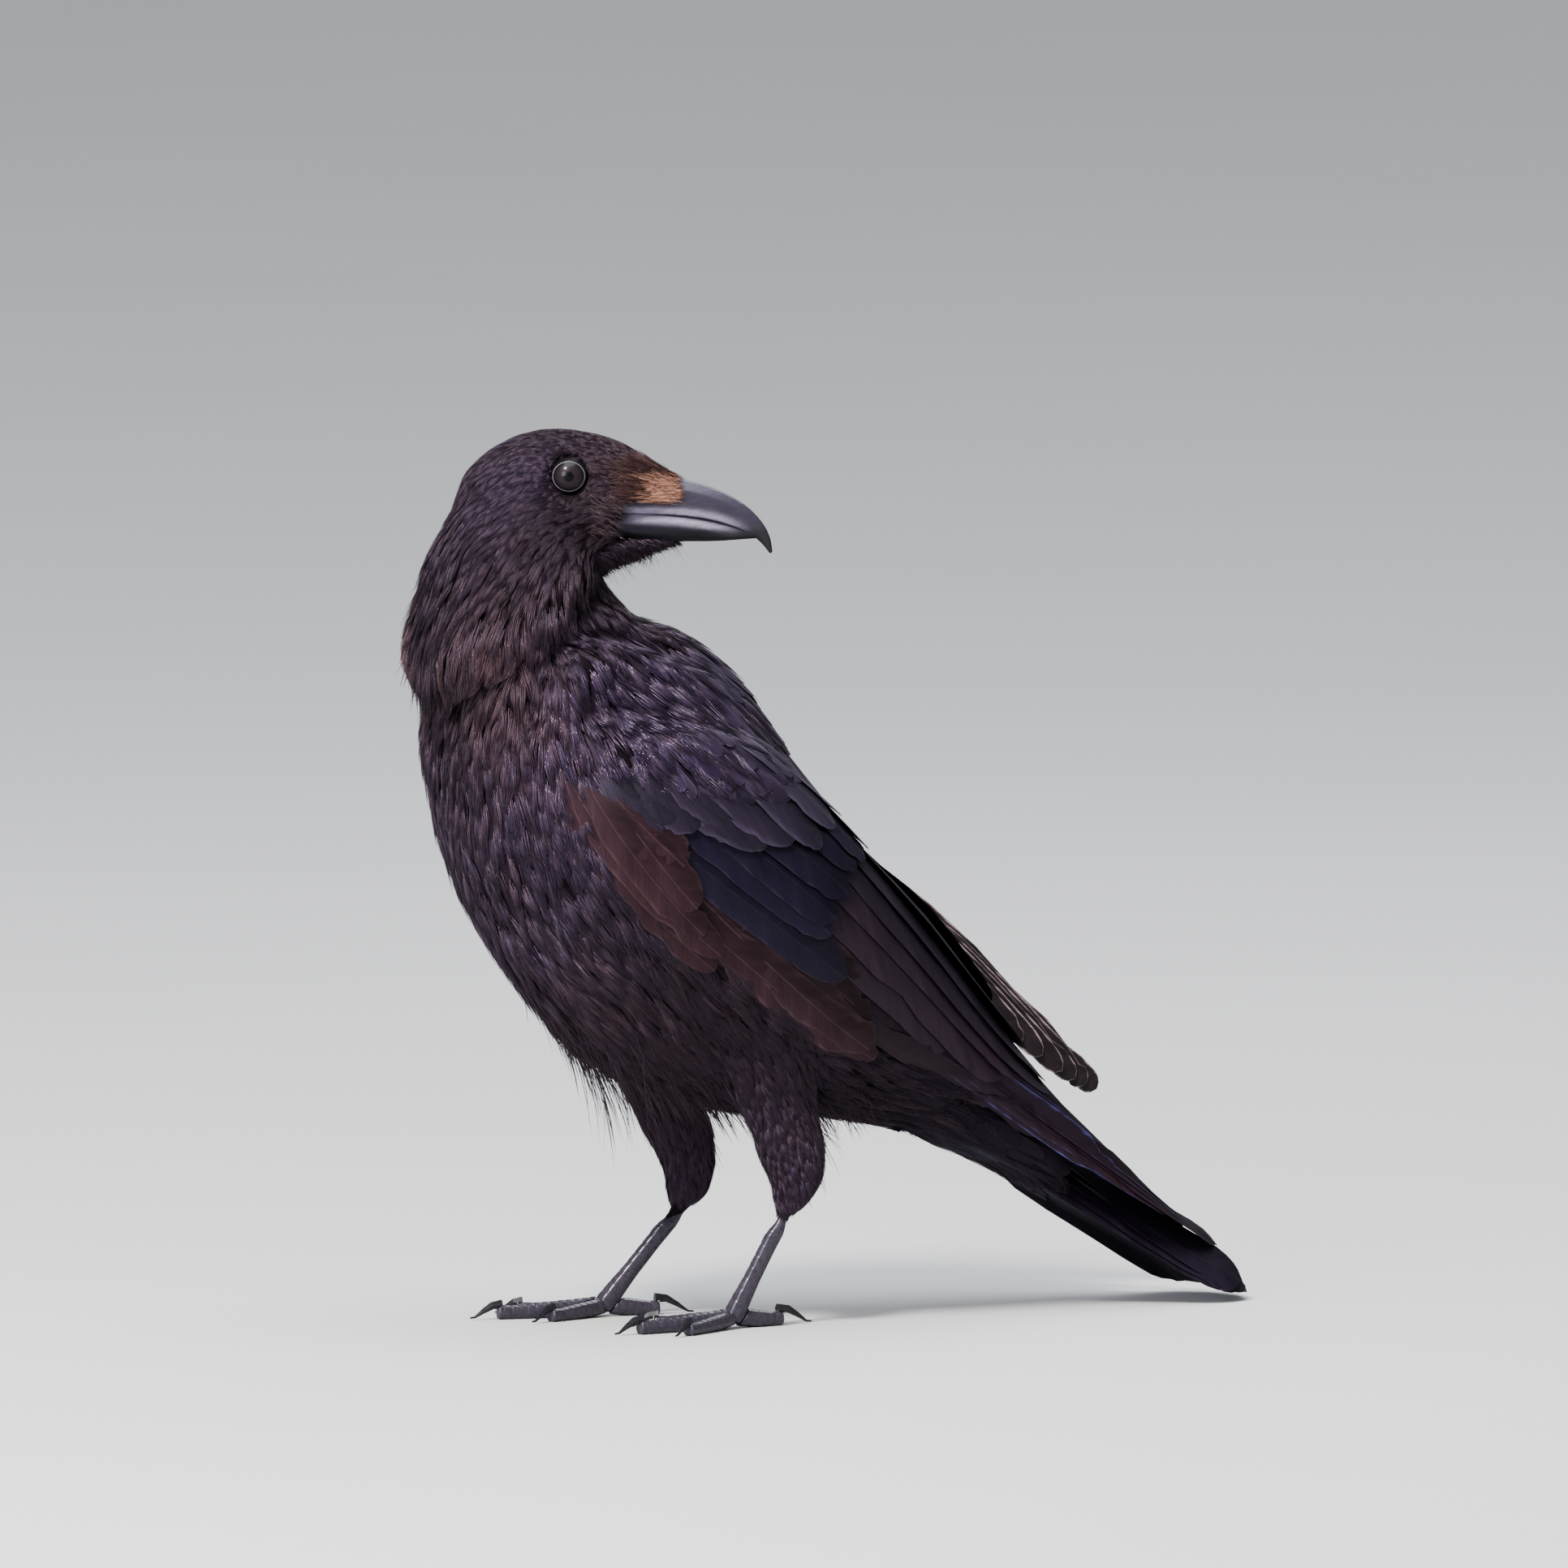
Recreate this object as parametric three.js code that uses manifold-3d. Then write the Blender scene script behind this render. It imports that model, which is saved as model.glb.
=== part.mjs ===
// A life-size standing crow that looks back over its left shoulder, as a still museum model.
//
// Frame, in millimetres: +Z is up, -X is the way the body faces, +X is towards the tail,
// -Y is the bird's left side and +Y its right side. The figure is first modelled about the
// point on the floor between its feet, then moved so that the origin is the bottom centre of
// its bounding box.
//
// Nearly every piece is a loft: a few named stations along a spine, joined by smooth rings.
// Pieces are trimmed in order, each one against the pieces it meets, with a thin gap left.

import * as THREE from "three";
import { mergeVertices } from "three/addons/utils/BufferGeometryUtils.js";
import Module from "manifold-3d";

const wasm = await Module();
wasm.setup();

// ---- Driving dimensions ----------------------------------------------------------------

const GAP = 0.3; // clearance between neighbouring pieces
const HEAD_TURN = -25; // degrees: the bill points this far to the left of straight back
const HEAD_AT = [-37.7, -4.5, 288.9]; // the middle of the head, just under the eyes' level
const EYE_RADIUS = 6.4;
const EYE_FROM_MIDDLE = 13.6; // from the head's middle plane to the centre of an eyeball
const EYE_HEIGHT = 1; // above the middle of the head
const FOOT_RIGHT = [-9.5, 28]; // where each tarsus meets its toes, on the floor
const FOOT_LEFT = [13, -27];
const TOE_HEIGHT = 3.4; // centre of a toe above the floor
const FLAT_DEPTH = 0.35; // how far the toes are let into the floor, which leaves flats under them
const SPINE_STEP = 0.01; // part of a spine over which its direction is measured
const LEAST_REACH = 0.05; // no ring is thinner than this
const FAR = 400; // longer than the whole bird, for the blocks that only cut

const LEFT = -1; // sign of Y on each side
const RIGHT = 1;

// ---- Small tools -----------------------------------------------------------------------

const vec = (p) => new THREE.Vector3(...p);
const radians = THREE.MathUtils.degToRad;
const mix = (a, b, t) => a + (b - a) * t;

// Catmull-Rom value through a list of numbers, at t from 0 to 1 over the whole list.
function smoothValue(list, t) {
  const x = t * (list.length - 1);
  const i = Math.min(Math.floor(x), list.length - 2);
  const at = (k) => list[Math.max(0, Math.min(list.length - 1, k))];
  const [a, b, c, d] = [at(i - 1), at(i), at(i + 1), at(i + 2)];
  const u = x - i;
  return b + 0.5 * u * (c - a + u * (2 * a - 5 * b + 4 * c - d + u * (3 * (b - c) + d - a)));
}

// A station of a loft is { at, wide, up, down }: the spine point, the half-width to each side
// and the reach above and below it. Optional: square (2 is an ellipse, more is boxier).
function stationAt(stations, t) {
  const value = (pick) => smoothValue(stations.map(pick), t);
  return {
    at: new THREE.Vector3(
      value((s) => s.at[0]),
      value((s) => s.at[1]),
      value((s) => s.at[2]),
    ),
    wide: Math.max(LEAST_REACH, value((s) => s.wide)),
    up: Math.max(LEAST_REACH, value((s) => s.up)),
    down: Math.max(LEAST_REACH, value((s) => s.down)),
    square: value((s) => s.square ?? 2),
  };
}

// The direction of a spine at t.
function spineWay(stations, t) {
  const ahead = stationAt(stations, Math.min(1, t + SPINE_STEP)).at;
  return ahead.sub(stationAt(stations, Math.max(0, t - SPINE_STEP)).at).normalize();
}

// Closed surface through rings of points, all of one length, with its two ends closed.
function closedRings(rings) {
  const sides = rings[0].length;
  const points = rings.flat();
  const middle = (ring) => ring.reduce((sum, p) => sum.add(p), new THREE.Vector3()).divideScalar(sides);
  const first = points.push(middle(rings[0])) - 1;
  const last = points.push(middle(rings[rings.length - 1])) - 1;
  const faces = [];
  for (let r = 0; r < rings.length - 1; r++)
    for (let k = 0; k < sides; k++) {
      const a = r * sides + k;
      const b = r * sides + ((k + 1) % sides);
      faces.push(a, b, a + sides, b, b + sides, a + sides);
    }
  const end = (rings.length - 1) * sides;
  for (let k = 0; k < sides; k++) {
    const next = (k + 1) % sides;
    faces.push(first, next, k, last, end + k, end + next);
  }
  const geometry = new THREE.BufferGeometry().setFromPoints(points);
  geometry.setIndex(faces);
  return geometry;
}

// A loft along the stations. side is the direction, roughly, of the rings' width; a ring's up
// is square to both the spine and side, on the side of top. grow makes the shape fatter, and
// upTo is the part of the spine that is used.
function loft(stations, options = {}) {
  const { side = [0, 1, 0], top = [0.4, 0, 1], rings = 16, sides = 20, grow = 0, upTo = 1 } = options;
  const made = [];
  for (let r = 0; r <= rings; r++) {
    const t = (upTo * r) / rings;
    const s = stationAt(stations, t);
    const along = spineWay(stations, t);
    const across = vec(side).addScaledVector(along, -vec(side).dot(along)).normalize();
    const upward = new THREE.Vector3().crossVectors(along, across);
    if (upward.dot(vec(top)) < 0) upward.negate();
    const turn = new THREE.Vector3().crossVectors(across, upward).dot(along) < 0 ? -1 : 1;
    const ring = [];
    for (let k = 0; k < sides; k++) {
      const angle = (turn * 2 * Math.PI * k) / sides;
      const [c, n] = [Math.cos(angle), Math.sin(angle)];
      const bend = (x) => Math.sign(x) * Math.abs(x) ** (2 / s.square);
      const reach = n > 0 ? s.up : s.down;
      ring.push(
        s.at
          .clone()
          .addScaledVector(across, bend(c) * (s.wide + grow))
          .addScaledVector(upward, bend(n) * (reach + grow)),
      );
    }
    const push = r === 0 ? -grow : r === rings ? grow : 0;
    made.push(ring.map((p) => p.addScaledVector(along, push)));
  }
  return closedRings(made);
}

// A geometry as a manifold-3d solid, turned the right way out.
function solid(geometry) {
  const bare = new THREE.BufferGeometry().setAttribute("position", geometry.getAttribute("position"));
  if (geometry.index) bare.setIndex(geometry.index);
  const merged = mergeVertices(bare, 1e-4);
  const mesh = new wasm.Mesh({
    numProp: 3,
    vertProperties: new Float32Array(merged.attributes.position.array),
    triVerts: new Uint32Array(merged.index.array),
  });
  const made = new wasm.Manifold(mesh);
  if (made.volume() > 0) return made;
  mesh.triVerts = mesh.triVerts.map((_, i, all) => all[i - (i % 3) + (2 - (i % 3))]);
  return new wasm.Manifold(mesh);
}

// What is left of a solid after cutting others from it: its largest body.
function trimmed(body, ...cutters) {
  const rest = cutters.reduce((left, cutter) => left.subtract(cutter), body);
  return rest.decompose().sort((a, b) => b.volume() - a.volume())[0];
}

function boxSolid(size, at) {
  const geometry = new THREE.BoxGeometry(...size).translate(...at);
  return solid(geometry);
}

const figure = new THREE.Group();

function addMesh(name, body, material) {
  const m = body.getMesh();
  const points = new Float32Array(m.numVert * 3);
  for (let i = 0; i < m.numVert; i++)
    for (let k = 0; k < 3; k++) points[i * 3 + k] = m.vertProperties[i * m.numProp + k];
  const geometry = new THREE.BufferGeometry()
    .setAttribute("position", new THREE.BufferAttribute(points, 3))
    .setIndex(new THREE.BufferAttribute(new Uint32Array(m.triVerts), 1));
  geometry.computeVertexNormals();
  const mesh = new THREE.Mesh(geometry, material);
  mesh.name = name;
  figure.add(mesh);
}

const finish = (color, roughness) => new THREE.MeshStandardMaterial({ color, roughness, metalness: 0 });
const PLUMAGE = finish(0x1d1a20, 0.6);
const FLIGHT = finish(0x1a1b2a, 0.45);
const HORN = finish(0x26262b, 0.35);
const EYE = finish(0x2a2320, 0.08);
const SCALES = finish(0x18181d, 0.45);

// ---- Body core: trunk and tail share one spine, which the folded wings also follow ------

// Stations from the neck's base to the tail tip: [X, Z, half-width, back, belly].
const CORE = [
  [-56, 232, 30, 40, 26],
  [-50, 214, 44, 54, 40],
  [-35, 189, 51, 62, 54],
  [-13, 165, 54, 62, 64],
  [14, 142, 54, 53, 69],
  [42, 120, 48, 44, 59],
  [70, 100, 38, 34, 39],
  [98, 80, 28, 23, 21],
  [127, 59, 25, 13, 10],
  [165, 33, 24, 8, 6],
  [203, 9, 22, 4, 3],
].map(([x, z, wide, up, down]) => ({ at: [x, 0, z], wide, up, down }));

const TRUNK_END = 0.7; // the part of the core that is trunk, up to the root of the tail

const trunkShape = (grow) => solid(loft(CORE, { rings: 15, sides: 22, grow, upTo: TRUNK_END }));

// ---- Head and bill, in a frame of their own ----------------------------------------------

// In the head's frame +X is the way the bill points, +Y the head's left and +Z up, with the
// origin midway between the eyes.
const headFrame = new THREE.Matrix4()
  .makeTranslation(...HEAD_AT)
  .multiply(new THREE.Matrix4().makeRotationZ(radians(HEAD_TURN)));
const onHead = (geometry) => solid(geometry.applyMatrix4(headFrame));

// [forward, centre height, half-width, up, down]
const inHead = ([x, z, wide, up, down, square]) => ({ at: [x, 0, z], wide, up, down, square });
const HEAD = [
  [-39, -20, 7, 4, 7],
  [-35, -13, 14.5, 5.5, 14],
  [-27, -7, 18, 14, 18],
  [-14, -5, 19.5, 20, 20],
  [0, -5, 18.6, 21, 28],
  [12, -6, 16, 19.2, 29],
  [22, -8.5, 12, 15.6, 21],
  [30, -10, 9, 12.4, 15],
  [37, -11.5, 7, 10, 11.5],
].map(inHead);

const headShape = (grow) => onHead(loft(HEAD, { rings: 14, sides: 18, grow }));

const BILL_UPPER = [
  [14, -6.5, 7.6, 9.5, 6.5],
  [24, -7.2, 7.2, 9.8, 6],
  [33, -7.8, 6.7, 7.8, 5.6],
  [42, -9.0, 5.7, 6.8, 5.2],
  [50, -11.2, 4.7, 6.1, 4.4],
  [57, -14.2, 3.7, 5.0, 3.6],
  [62.5, -17.6, 2.7, 3.3, 2.9],
  [66, -21.6, 1.7, 2.0, 1.9],
  [68.1, -26.3, 0.7, 0.6, 0.6],
].map(inHead);

const BILL_LOWER = [
  [12, -14.6, 8.6, 5, 5.4],
  [24, -15.6, 8, 5, 6.4],
  [34, -16.3, 6.9, 4.6, 6.2],
  [43, -17.3, 5.5, 4.2, 5.2],
  [51, -18.6, 4, 3.4, 3.9],
  [58, -20.1, 2.4, 2.0, 2.1],
  [63.4, -21.2, 0.8, 0.6, 0.6],
].map(inHead);

const billUpperShape = (grow) => onHead(loft(BILL_UPPER, { rings: 18, sides: 12, grow }));
const billLowerShape = (grow) => onHead(loft(BILL_LOWER, { rings: 10, sides: 10, grow }));

// The bare sides of the bill, in front of the gape: the feathers stop above and below them.
const GAPE_AT = 17.5; // forward from the eyes
const BARE_REACH = 60; // further than the bill's tip, and wider than the head
const BARE_TOP = -8.2; // the lower edge of the bristles over the nostrils
const BARE_BOTTOM = -22.2; // the upper edge of the feathers of the chin
const bareSides = () =>
  onHead(
    new THREE.BoxGeometry(BARE_REACH, BARE_REACH, BARE_TOP - BARE_BOTTOM).translate(
      GAPE_AT + BARE_REACH / 2,
      0,
      (BARE_TOP + BARE_BOTTOM) / 2,
    ),
  );

// side is LEFT or RIGHT of the head itself, whose left is +Y in its own frame.
function eyeShape(side, grow) {
  const ball = new THREE.SphereGeometry(EYE_RADIUS + grow, 12, 8);
  return onHead(ball.translate(0, -side * EYE_FROM_MIDDLE, EYE_HEIGHT));
}

// ---- Neck: rises from the trunk and carries the turned head ------------------------------

const NECK = [
  { at: [-42, 0, 212], wide: 44, up: 36, down: 42 },
  { at: [-53, 0, 229], wide: 42, up: 38, down: 41 },
  { at: [-57, -1, 246], wide: 36, up: 36, down: 36.5 },
  { at: [-56, -3, 261], wide: 30, up: 31, down: 30 },
  { at: [-51, -4, 273], wide: 21, up: 24, down: 24 },
  { at: [-46, -5, 280], wide: 11, up: 14, down: 15 },
];

const neckShape = (grow) => solid(loft(NECK, { top: [1, 0, 0], rings: 10, sides: 20, grow }));

// ---- Folded wings: strips that hug the body core -----------------------------------------

// Each station of a wing: s is the place along the core from 0 to 1, top and bottom are the
// angles of its edges from the middle of the back, in degrees, and thick is its thickness.
const WING = [
  { s: 0.16, top: 84, bottom: 104, thick: 3 },
  { s: 0.2, top: 62, bottom: 118, thick: 7 },
  { s: 0.28, top: 44, bottom: 122, thick: 10 },
  { s: 0.38, top: 32, bottom: 118, thick: 10 },
  { s: 0.5, top: 20, bottom: 116, thick: 9.5 },
  { s: 0.6, top: 9, bottom: 114, thick: 9 },
  { s: 0.7, top: 4, bottom: 104, thick: 8.5 },
  { s: 0.8, top: 4, bottom: 90, thick: 8 },
  { s: 0.9, top: 8, bottom: 86, thick: 6 },
  { s: 0.97, top: 20, bottom: 74, thick: 3 },
];

const WING_SINK = 5; // how far the strip's inner face is sunk under the core's surface
const WING_EDGE = 2.4; // how far its edges stand out of the core's surface

function wingRings(stations, side, rings, steps, grow) {
  const value = (t, key) => smoothValue(stations.map((w) => w[key]), t);
  const made = [];
  for (let r = 0; r <= rings; r++) {
    const t = r / rings;
    const s = value(t, "s");
    const core = stationAt(CORE, s);
    const along = spineWay(CORE, s);
    const back = new THREE.Vector3(-along.z, 0, along.x);
    const at = (angle, lift) => {
      const [c, n] = [Math.cos(angle), Math.sin(angle)];
      const reach = c > 0 ? core.up : core.down;
      return core.at
        .clone()
        .addScaledVector(back, c * (reach + lift))
        .add(new THREE.Vector3(0, side * n * (core.wide + lift), 0));
    };
    const widen = grow / Math.min(core.wide, core.up);
    const top = radians(value(t, "top")) - widen;
    const bottom = radians(value(t, "bottom")) + widen;
    const thick = value(t, "thick");
    const sink = Math.min(WING_SINK, 0.6 * Math.min(core.up, core.down));
    const outer = [];
    const inner = [];
    for (let k = 0; k <= steps; k++) {
      const u = k / steps;
      const edge = 1 - Math.abs(2 * u - 1) ** 3;
      const lift = mix(WING_EDGE, thick, edge) + grow;
      outer.push(at(mix(top, bottom, u), lift));
      inner.push(at(mix(top, bottom, u), -sink - grow));
    }
    made.push([...outer, ...inner.reverse()]);
  }
  return made;
}

const wingShape = (side, grow) => solid(closedRings(wingRings(WING, side, 16, 7, grow)));

// ---- Raised inner flight feathers of the right wing --------------------------------------

const TERTIALS_RIGHT = [
  { at: [52, 34, 150], wide: 7, up: 3, down: 12 },
  { at: [76, 28, 145], wide: 13, up: 9, down: 14 },
  { at: [100, 27, 133], wide: 16, up: 8.5, down: 13 },
  { at: [124, 27, 116], wide: 15, up: 7, down: 11 },
  { at: [146, 26, 97], wide: 12, up: 5, down: 8 },
  { at: [163, 24, 80], wide: 8, up: 3.2, down: 4.5 },
  { at: [169, 23, 73], wide: 4, up: 1.6, down: 2 },
];

const tertialsShape = (grow) => solid(loft(TERTIALS_RIGHT, { rings: 9, sides: 10, grow }));

// ---- Tail ---------------------------------------------------------------------------------

const TAIL = [
  { at: [92, 0, 82], wide: 22, up: 9, down: 22, square: 2.4 },
  { at: [118, 0, 64], wide: 24, up: 7, down: 13, square: 2.6 },
  { at: [150, 0, 42], wide: 25, up: 5, down: 8.5, square: 2.8 },
  { at: [182, 0, 21], wide: 25, up: 3.6, down: 5, square: 2.8 },
  { at: [206, 0, 6.5], wide: 22, up: 2.4, down: 2.6, square: 2.4 },
  { at: [217, 0, 1.0], wide: 14, up: 1.4, down: 1.5, square: 2 },
];

const tailShape = (grow) => solid(loft(TAIL, { rings: 9, sides: 12, grow }));

// ---- Legs and feet --------------------------------------------------------------------------

const LEGS = [
  {
    name: "right",
    side: RIGHT,
    foot: FOOT_RIGHT,
    ankle: [26, 27, 45],
    thigh: [
      { at: [2, 26, 112], wide: 20, up: 24, down: 24 },
      { at: [6, 27, 92], wide: 15, up: 18, down: 18 },
      { at: [11, 27, 76], wide: 11, up: 13, down: 13 },
      { at: [19, 27, 60], wide: 9.5, up: 11, down: 11.5 },
      { at: [21, 27, 48], wide: 8.5, up: 10, down: 11 },
      { at: [17, 27, 38], wide: 4.5, up: 5, down: 6 },
    ],
    heading: -8,
  },
  {
    name: "left",
    side: LEFT,
    foot: FOOT_LEFT,
    ankle: [38, -28, 50],
    thigh: [
      { at: [20, -27, 112], wide: 20, up: 24, down: 24 },
      { at: [25, -28, 92], wide: 15, up: 19, down: 19 },
      { at: [29, -28, 76], wide: 11.5, up: 13.5, down: 13.5 },
      { at: [34, -28, 60], wide: 10, up: 12, down: 12 },
      { at: [35, -28, 48], wide: 8.5, up: 9.5, down: 9.5 },
      { at: [31, -27.5, 39], wide: 4.5, up: 5, down: 5 },
    ],
    heading: 8,
  },
];

// Toes: name, angle from straight ahead (positive turns outwards), length, radius at the root.
const TOES = [
  { name: "inner", angle: -30, length: 27, root: 3.1, claw: 12 },
  { name: "middle", angle: 0, length: 38, root: 3.3, claw: 13 },
  { name: "outer", angle: 26, length: 30, root: 3.0, claw: 11 },
  { name: "hind", angle: 180, length: 19, root: 3.4, claw: 16 },
];

const legSide = [0, 1, 0];
const thighShape = (leg, grow) => solid(loft(leg.thigh, { side: legSide, rings: 8, sides: 12, grow }));

function tarsusShape(leg, grow) {
  const [x, y] = leg.foot;
  const [ax, ay, az] = leg.ankle;
  const at = (t, lift = 0) => [mix(ax, x, t), mix(ay, y, t), mix(az, TOE_HEIGHT + 1.2, t) + lift];
  const stations = [
    { at: at(-0.1), wide: 3.4, up: 4.2, down: 4.2 },
    { at: at(0.02), wide: 4.2, up: 5, down: 5 },
    { at: at(0.2), wide: 3, up: 3.5, down: 3.5 },
    { at: at(0.5), wide: 2.5, up: 3, down: 3 },
    { at: at(0.8), wide: 2.8, up: 3.2, down: 3.2 },
    { at: at(0.97), wide: 4, up: 3.9, down: 3.9 },
    { at: at(1.04), wide: 3.2, up: 3, down: 3 },
  ];
  return solid(loft(stations, { rings: 8, sides: 8, grow }));
}

// The way a toe points, in the floor plane. A leg's heading turns the whole foot.
function toeWay(leg, toe) {
  const angle = radians(180 + leg.heading - leg.side * toe.angle);
  return new THREE.Vector3(Math.cos(angle), Math.sin(angle), 0);
}

// Toe: low pads under each joint, a slight arch between the foot and the claw.
function toeShape(leg, toe, grow) {
  const way = toeWay(leg, toe);
  const start = new THREE.Vector3(leg.foot[0], leg.foot[1], TOE_HEIGHT + 0.8);
  const stations = [0, 0.25, 0.5, 0.75, 1].map((t) => {
    const pad = t === 0.5 || t === 1 ? 0.25 : 0;
    const radius = toe.root * mix(1, 0.72, t) + pad;
    const p = start.clone().addScaledVector(way, t * toe.length);
    p.z = radius - FLAT_DEPTH + (t === 0 ? 1.2 : t === 0.25 ? 0.5 : 0);
    return { at: p.toArray(), wide: radius, up: radius, down: radius };
  });
  const side = [-way.y, way.x, 0];
  return solid(loft(stations, { side, rings: 5, sides: 8, grow }));
}

// Claw: a hooked spike that starts inside the toe's end and comes down to the floor.
function clawShape(leg, toe, grow) {
  const way = toeWay(leg, toe);
  const start = new THREE.Vector3(leg.foot[0], leg.foot[1], 0).addScaledVector(way, toe.length - 1.5);
  const stations = [0, 0.3, 0.6, 0.85, 1].map((t) => {
    const p = start.clone().addScaledVector(way, t * toe.claw * 0.86);
    const arch = Math.sin(Math.PI * Math.min(1, t * 0.8 + 0.3)) * toe.claw * 0.3;
    const radius = Math.max(0.35, 1.9 * (1 - t) ** 0.8);
    p.z = 0.5 + radius * 0.7 + arch * (1 - t * 0.55);
    return { at: p.toArray(), wide: radius * 0.8, up: radius, down: radius };
  });
  const side = [-way.y, way.x, 0];
  return solid(loft(stations, { side, rings: 4, sides: 6, grow }));
}

// ---- Assembly: each piece is trimmed by the pieces before it ---------------------------------

const BELOW_FLOOR = boxSolid([2 * FAR, FAR, FAR], [0, 0, -FAR / 2]);

const grown = {
  upper: billUpperShape(GAP),
  lower: billLowerShape(GAP),
  head: headShape(GAP).add(headShape(3 * GAP)),
  neck: neckShape(GAP),
  trunk: trunkShape(GAP),
  wingLeft: wingShape(LEFT, GAP),
  wingRight: wingShape(RIGHT, GAP),
};
const bothEyes = eyeShape(LEFT, GAP).add(eyeShape(RIGHT, GAP));

addMesh("eye_left", eyeShape(LEFT, 0), EYE);
addMesh("eye_right", eyeShape(RIGHT, 0), EYE);
addMesh("bill_upper", billUpperShape(0), HORN);
addMesh("bill_lower", trimmed(billLowerShape(0), grown.upper), HORN);
addMesh("head", trimmed(headShape(0), bothEyes, grown.upper, grown.lower, bareSides()), PLUMAGE);
addMesh("trunk", trimmed(trunkShape(0), grown.neck), PLUMAGE);
addMesh("neck", trimmed(neckShape(0), grown.head, grown.lower), PLUMAGE);

// Cuts across each wing where the tips of the flight feathers leave the covered part.
const WING_TIP_FROM = 0.72;
const tipAt = stationAt(CORE, WING_TIP_FROM).at;
const tipWay = spineWay(CORE, WING_TIP_FROM);

// A block that fills the space on one side of that cut, half the gap past it. sign is 1 for
// the side of the tips and -1 for the side of the body.
function halfSpace(sign) {
  const block = new THREE.BoxGeometry(FAR, FAR, FAR).translate(sign * (FAR / 2 - GAP / 2), 0, 0);
  block.rotateY(-Math.atan2(tipWay.z, tipWay.x)).translate(...tipAt.toArray());
  return solid(block);
}
const beforeTip = halfSpace(-1);
const afterTip = halfSpace(1);

const middleWall = boxSolid([2 * FAR, GAP, 2 * FAR], [0, 0, 0]);
for (const [name, side] of [
  ["left", LEFT],
  ["right", RIGHT],
]) {
  const wing = trimmed(wingShape(side, 0), grown.trunk, grown.neck, middleWall);
  addMesh("wing_" + name, trimmed(wing, afterTip), FLIGHT);
  addMesh("primaries_" + name, trimmed(wing, beforeTip, BELOW_FLOOR), FLIGHT);
}
addMesh(
  "tertials_right",
  trimmed(tertialsShape(0), grown.wingRight, grown.wingLeft, grown.trunk),
  FLIGHT,
);
addMesh(
  "tail",
  trimmed(tailShape(0), grown.trunk, grown.wingLeft, grown.wingRight, BELOW_FLOOR),
  FLIGHT,
);

for (const leg of LEGS) {
  const wings = [grown.wingLeft, grown.wingRight];
  addMesh("thigh_" + leg.name, trimmed(thighShape(leg, 0), grown.trunk, ...wings), PLUMAGE);
  const tarsus = trimmed(tarsusShape(leg, 0), thighShape(leg, GAP), BELOW_FLOOR);
  addMesh("tarsus_" + leg.name, tarsus, SCALES);
  const before = [tarsusShape(leg, GAP)];
  for (const toe of TOES) {
    const claw = clawShape(leg, toe, 0);
    addMesh(`claw_${toe.name}_${leg.name}`, trimmed(claw, toeShape(leg, toe, GAP), BELOW_FLOOR), HORN);
    addMesh(`toe_${toe.name}_${leg.name}`, trimmed(toeShape(leg, toe, 0), ...before, BELOW_FLOOR), SCALES);
    before.push(toeShape(leg, toe, GAP));
  }
}

// The origin goes to the bottom centre of the figure's bounding box.
const bounds = new THREE.Box3().setFromObject(figure);
const middle = bounds.getCenter(new THREE.Vector3());
figure.position.set(-middle.x, -middle.y, -bounds.min.z);

export default figure;
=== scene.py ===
"""A life-size crow standing with its head turned back over its left side.

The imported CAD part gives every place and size. Its flesh becomes one skin that lies inside the solids by
the depth of the coat. Small feathers, vanes, bristles and strands are laid over that skin along the lie of
the coat, and the wing and tail feathers are placed one by one on the shape of the folded wing.
Tables are in millimetres, measured from the floor point between the feet, with the tail along +X and the
bird's left side along -Y.
"""

import math

import bmesh
import bpy
import numpy as np
from mathutils import Matrix, Vector, noise
from mathutils.bvhtree import BVHTree


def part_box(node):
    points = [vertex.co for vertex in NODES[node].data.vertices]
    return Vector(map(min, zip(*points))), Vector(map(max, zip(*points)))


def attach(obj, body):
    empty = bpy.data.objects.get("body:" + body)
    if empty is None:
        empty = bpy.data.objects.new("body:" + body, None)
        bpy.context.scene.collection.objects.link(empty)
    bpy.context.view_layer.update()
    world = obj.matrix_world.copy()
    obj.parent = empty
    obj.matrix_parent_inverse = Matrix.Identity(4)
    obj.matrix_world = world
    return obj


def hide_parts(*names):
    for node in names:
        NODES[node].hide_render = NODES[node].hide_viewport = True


MM = 0.001
CM_PER_M = 100
UPWARDS = np.array((0, 0, 1.0))
SIDE_NAMES = {-1: "left", 1: "right"}
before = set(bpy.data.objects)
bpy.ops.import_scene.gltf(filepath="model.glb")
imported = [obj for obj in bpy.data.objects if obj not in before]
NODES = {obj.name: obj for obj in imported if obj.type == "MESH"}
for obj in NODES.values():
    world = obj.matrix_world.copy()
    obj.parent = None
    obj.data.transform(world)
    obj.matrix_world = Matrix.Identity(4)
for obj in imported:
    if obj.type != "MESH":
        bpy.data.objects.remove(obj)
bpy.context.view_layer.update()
rng = np.random.default_rng(1727)


# ---- places taken from the frame ----

def middle(*nodes):
    """The middle of the box round CAD nodes."""
    corners = [np.array(corner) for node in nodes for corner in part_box(node)]
    return (np.min(corners, axis=0) + np.max(corners, axis=0)) / 2


def unit(v):
    """Ways of length one."""
    v = np.asarray(v, float)
    return v / (np.linalg.norm(v, axis=-1, keepdims=True) + 1e-12)


# The lids ring the eyeball at LID_RADIUS, as an oval that is a little lower than wide. The feathers of the
# face dip towards the lids from SOCKET_EDGE inwards. Both are distances from the line through both eyes.
EYE_RADIUS = 6.4 * MM
LID_RADIUS = 5.3 * MM
LID_OPENING = 0.93
SOCKET_EDGE = 9.5 * MM

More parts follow.
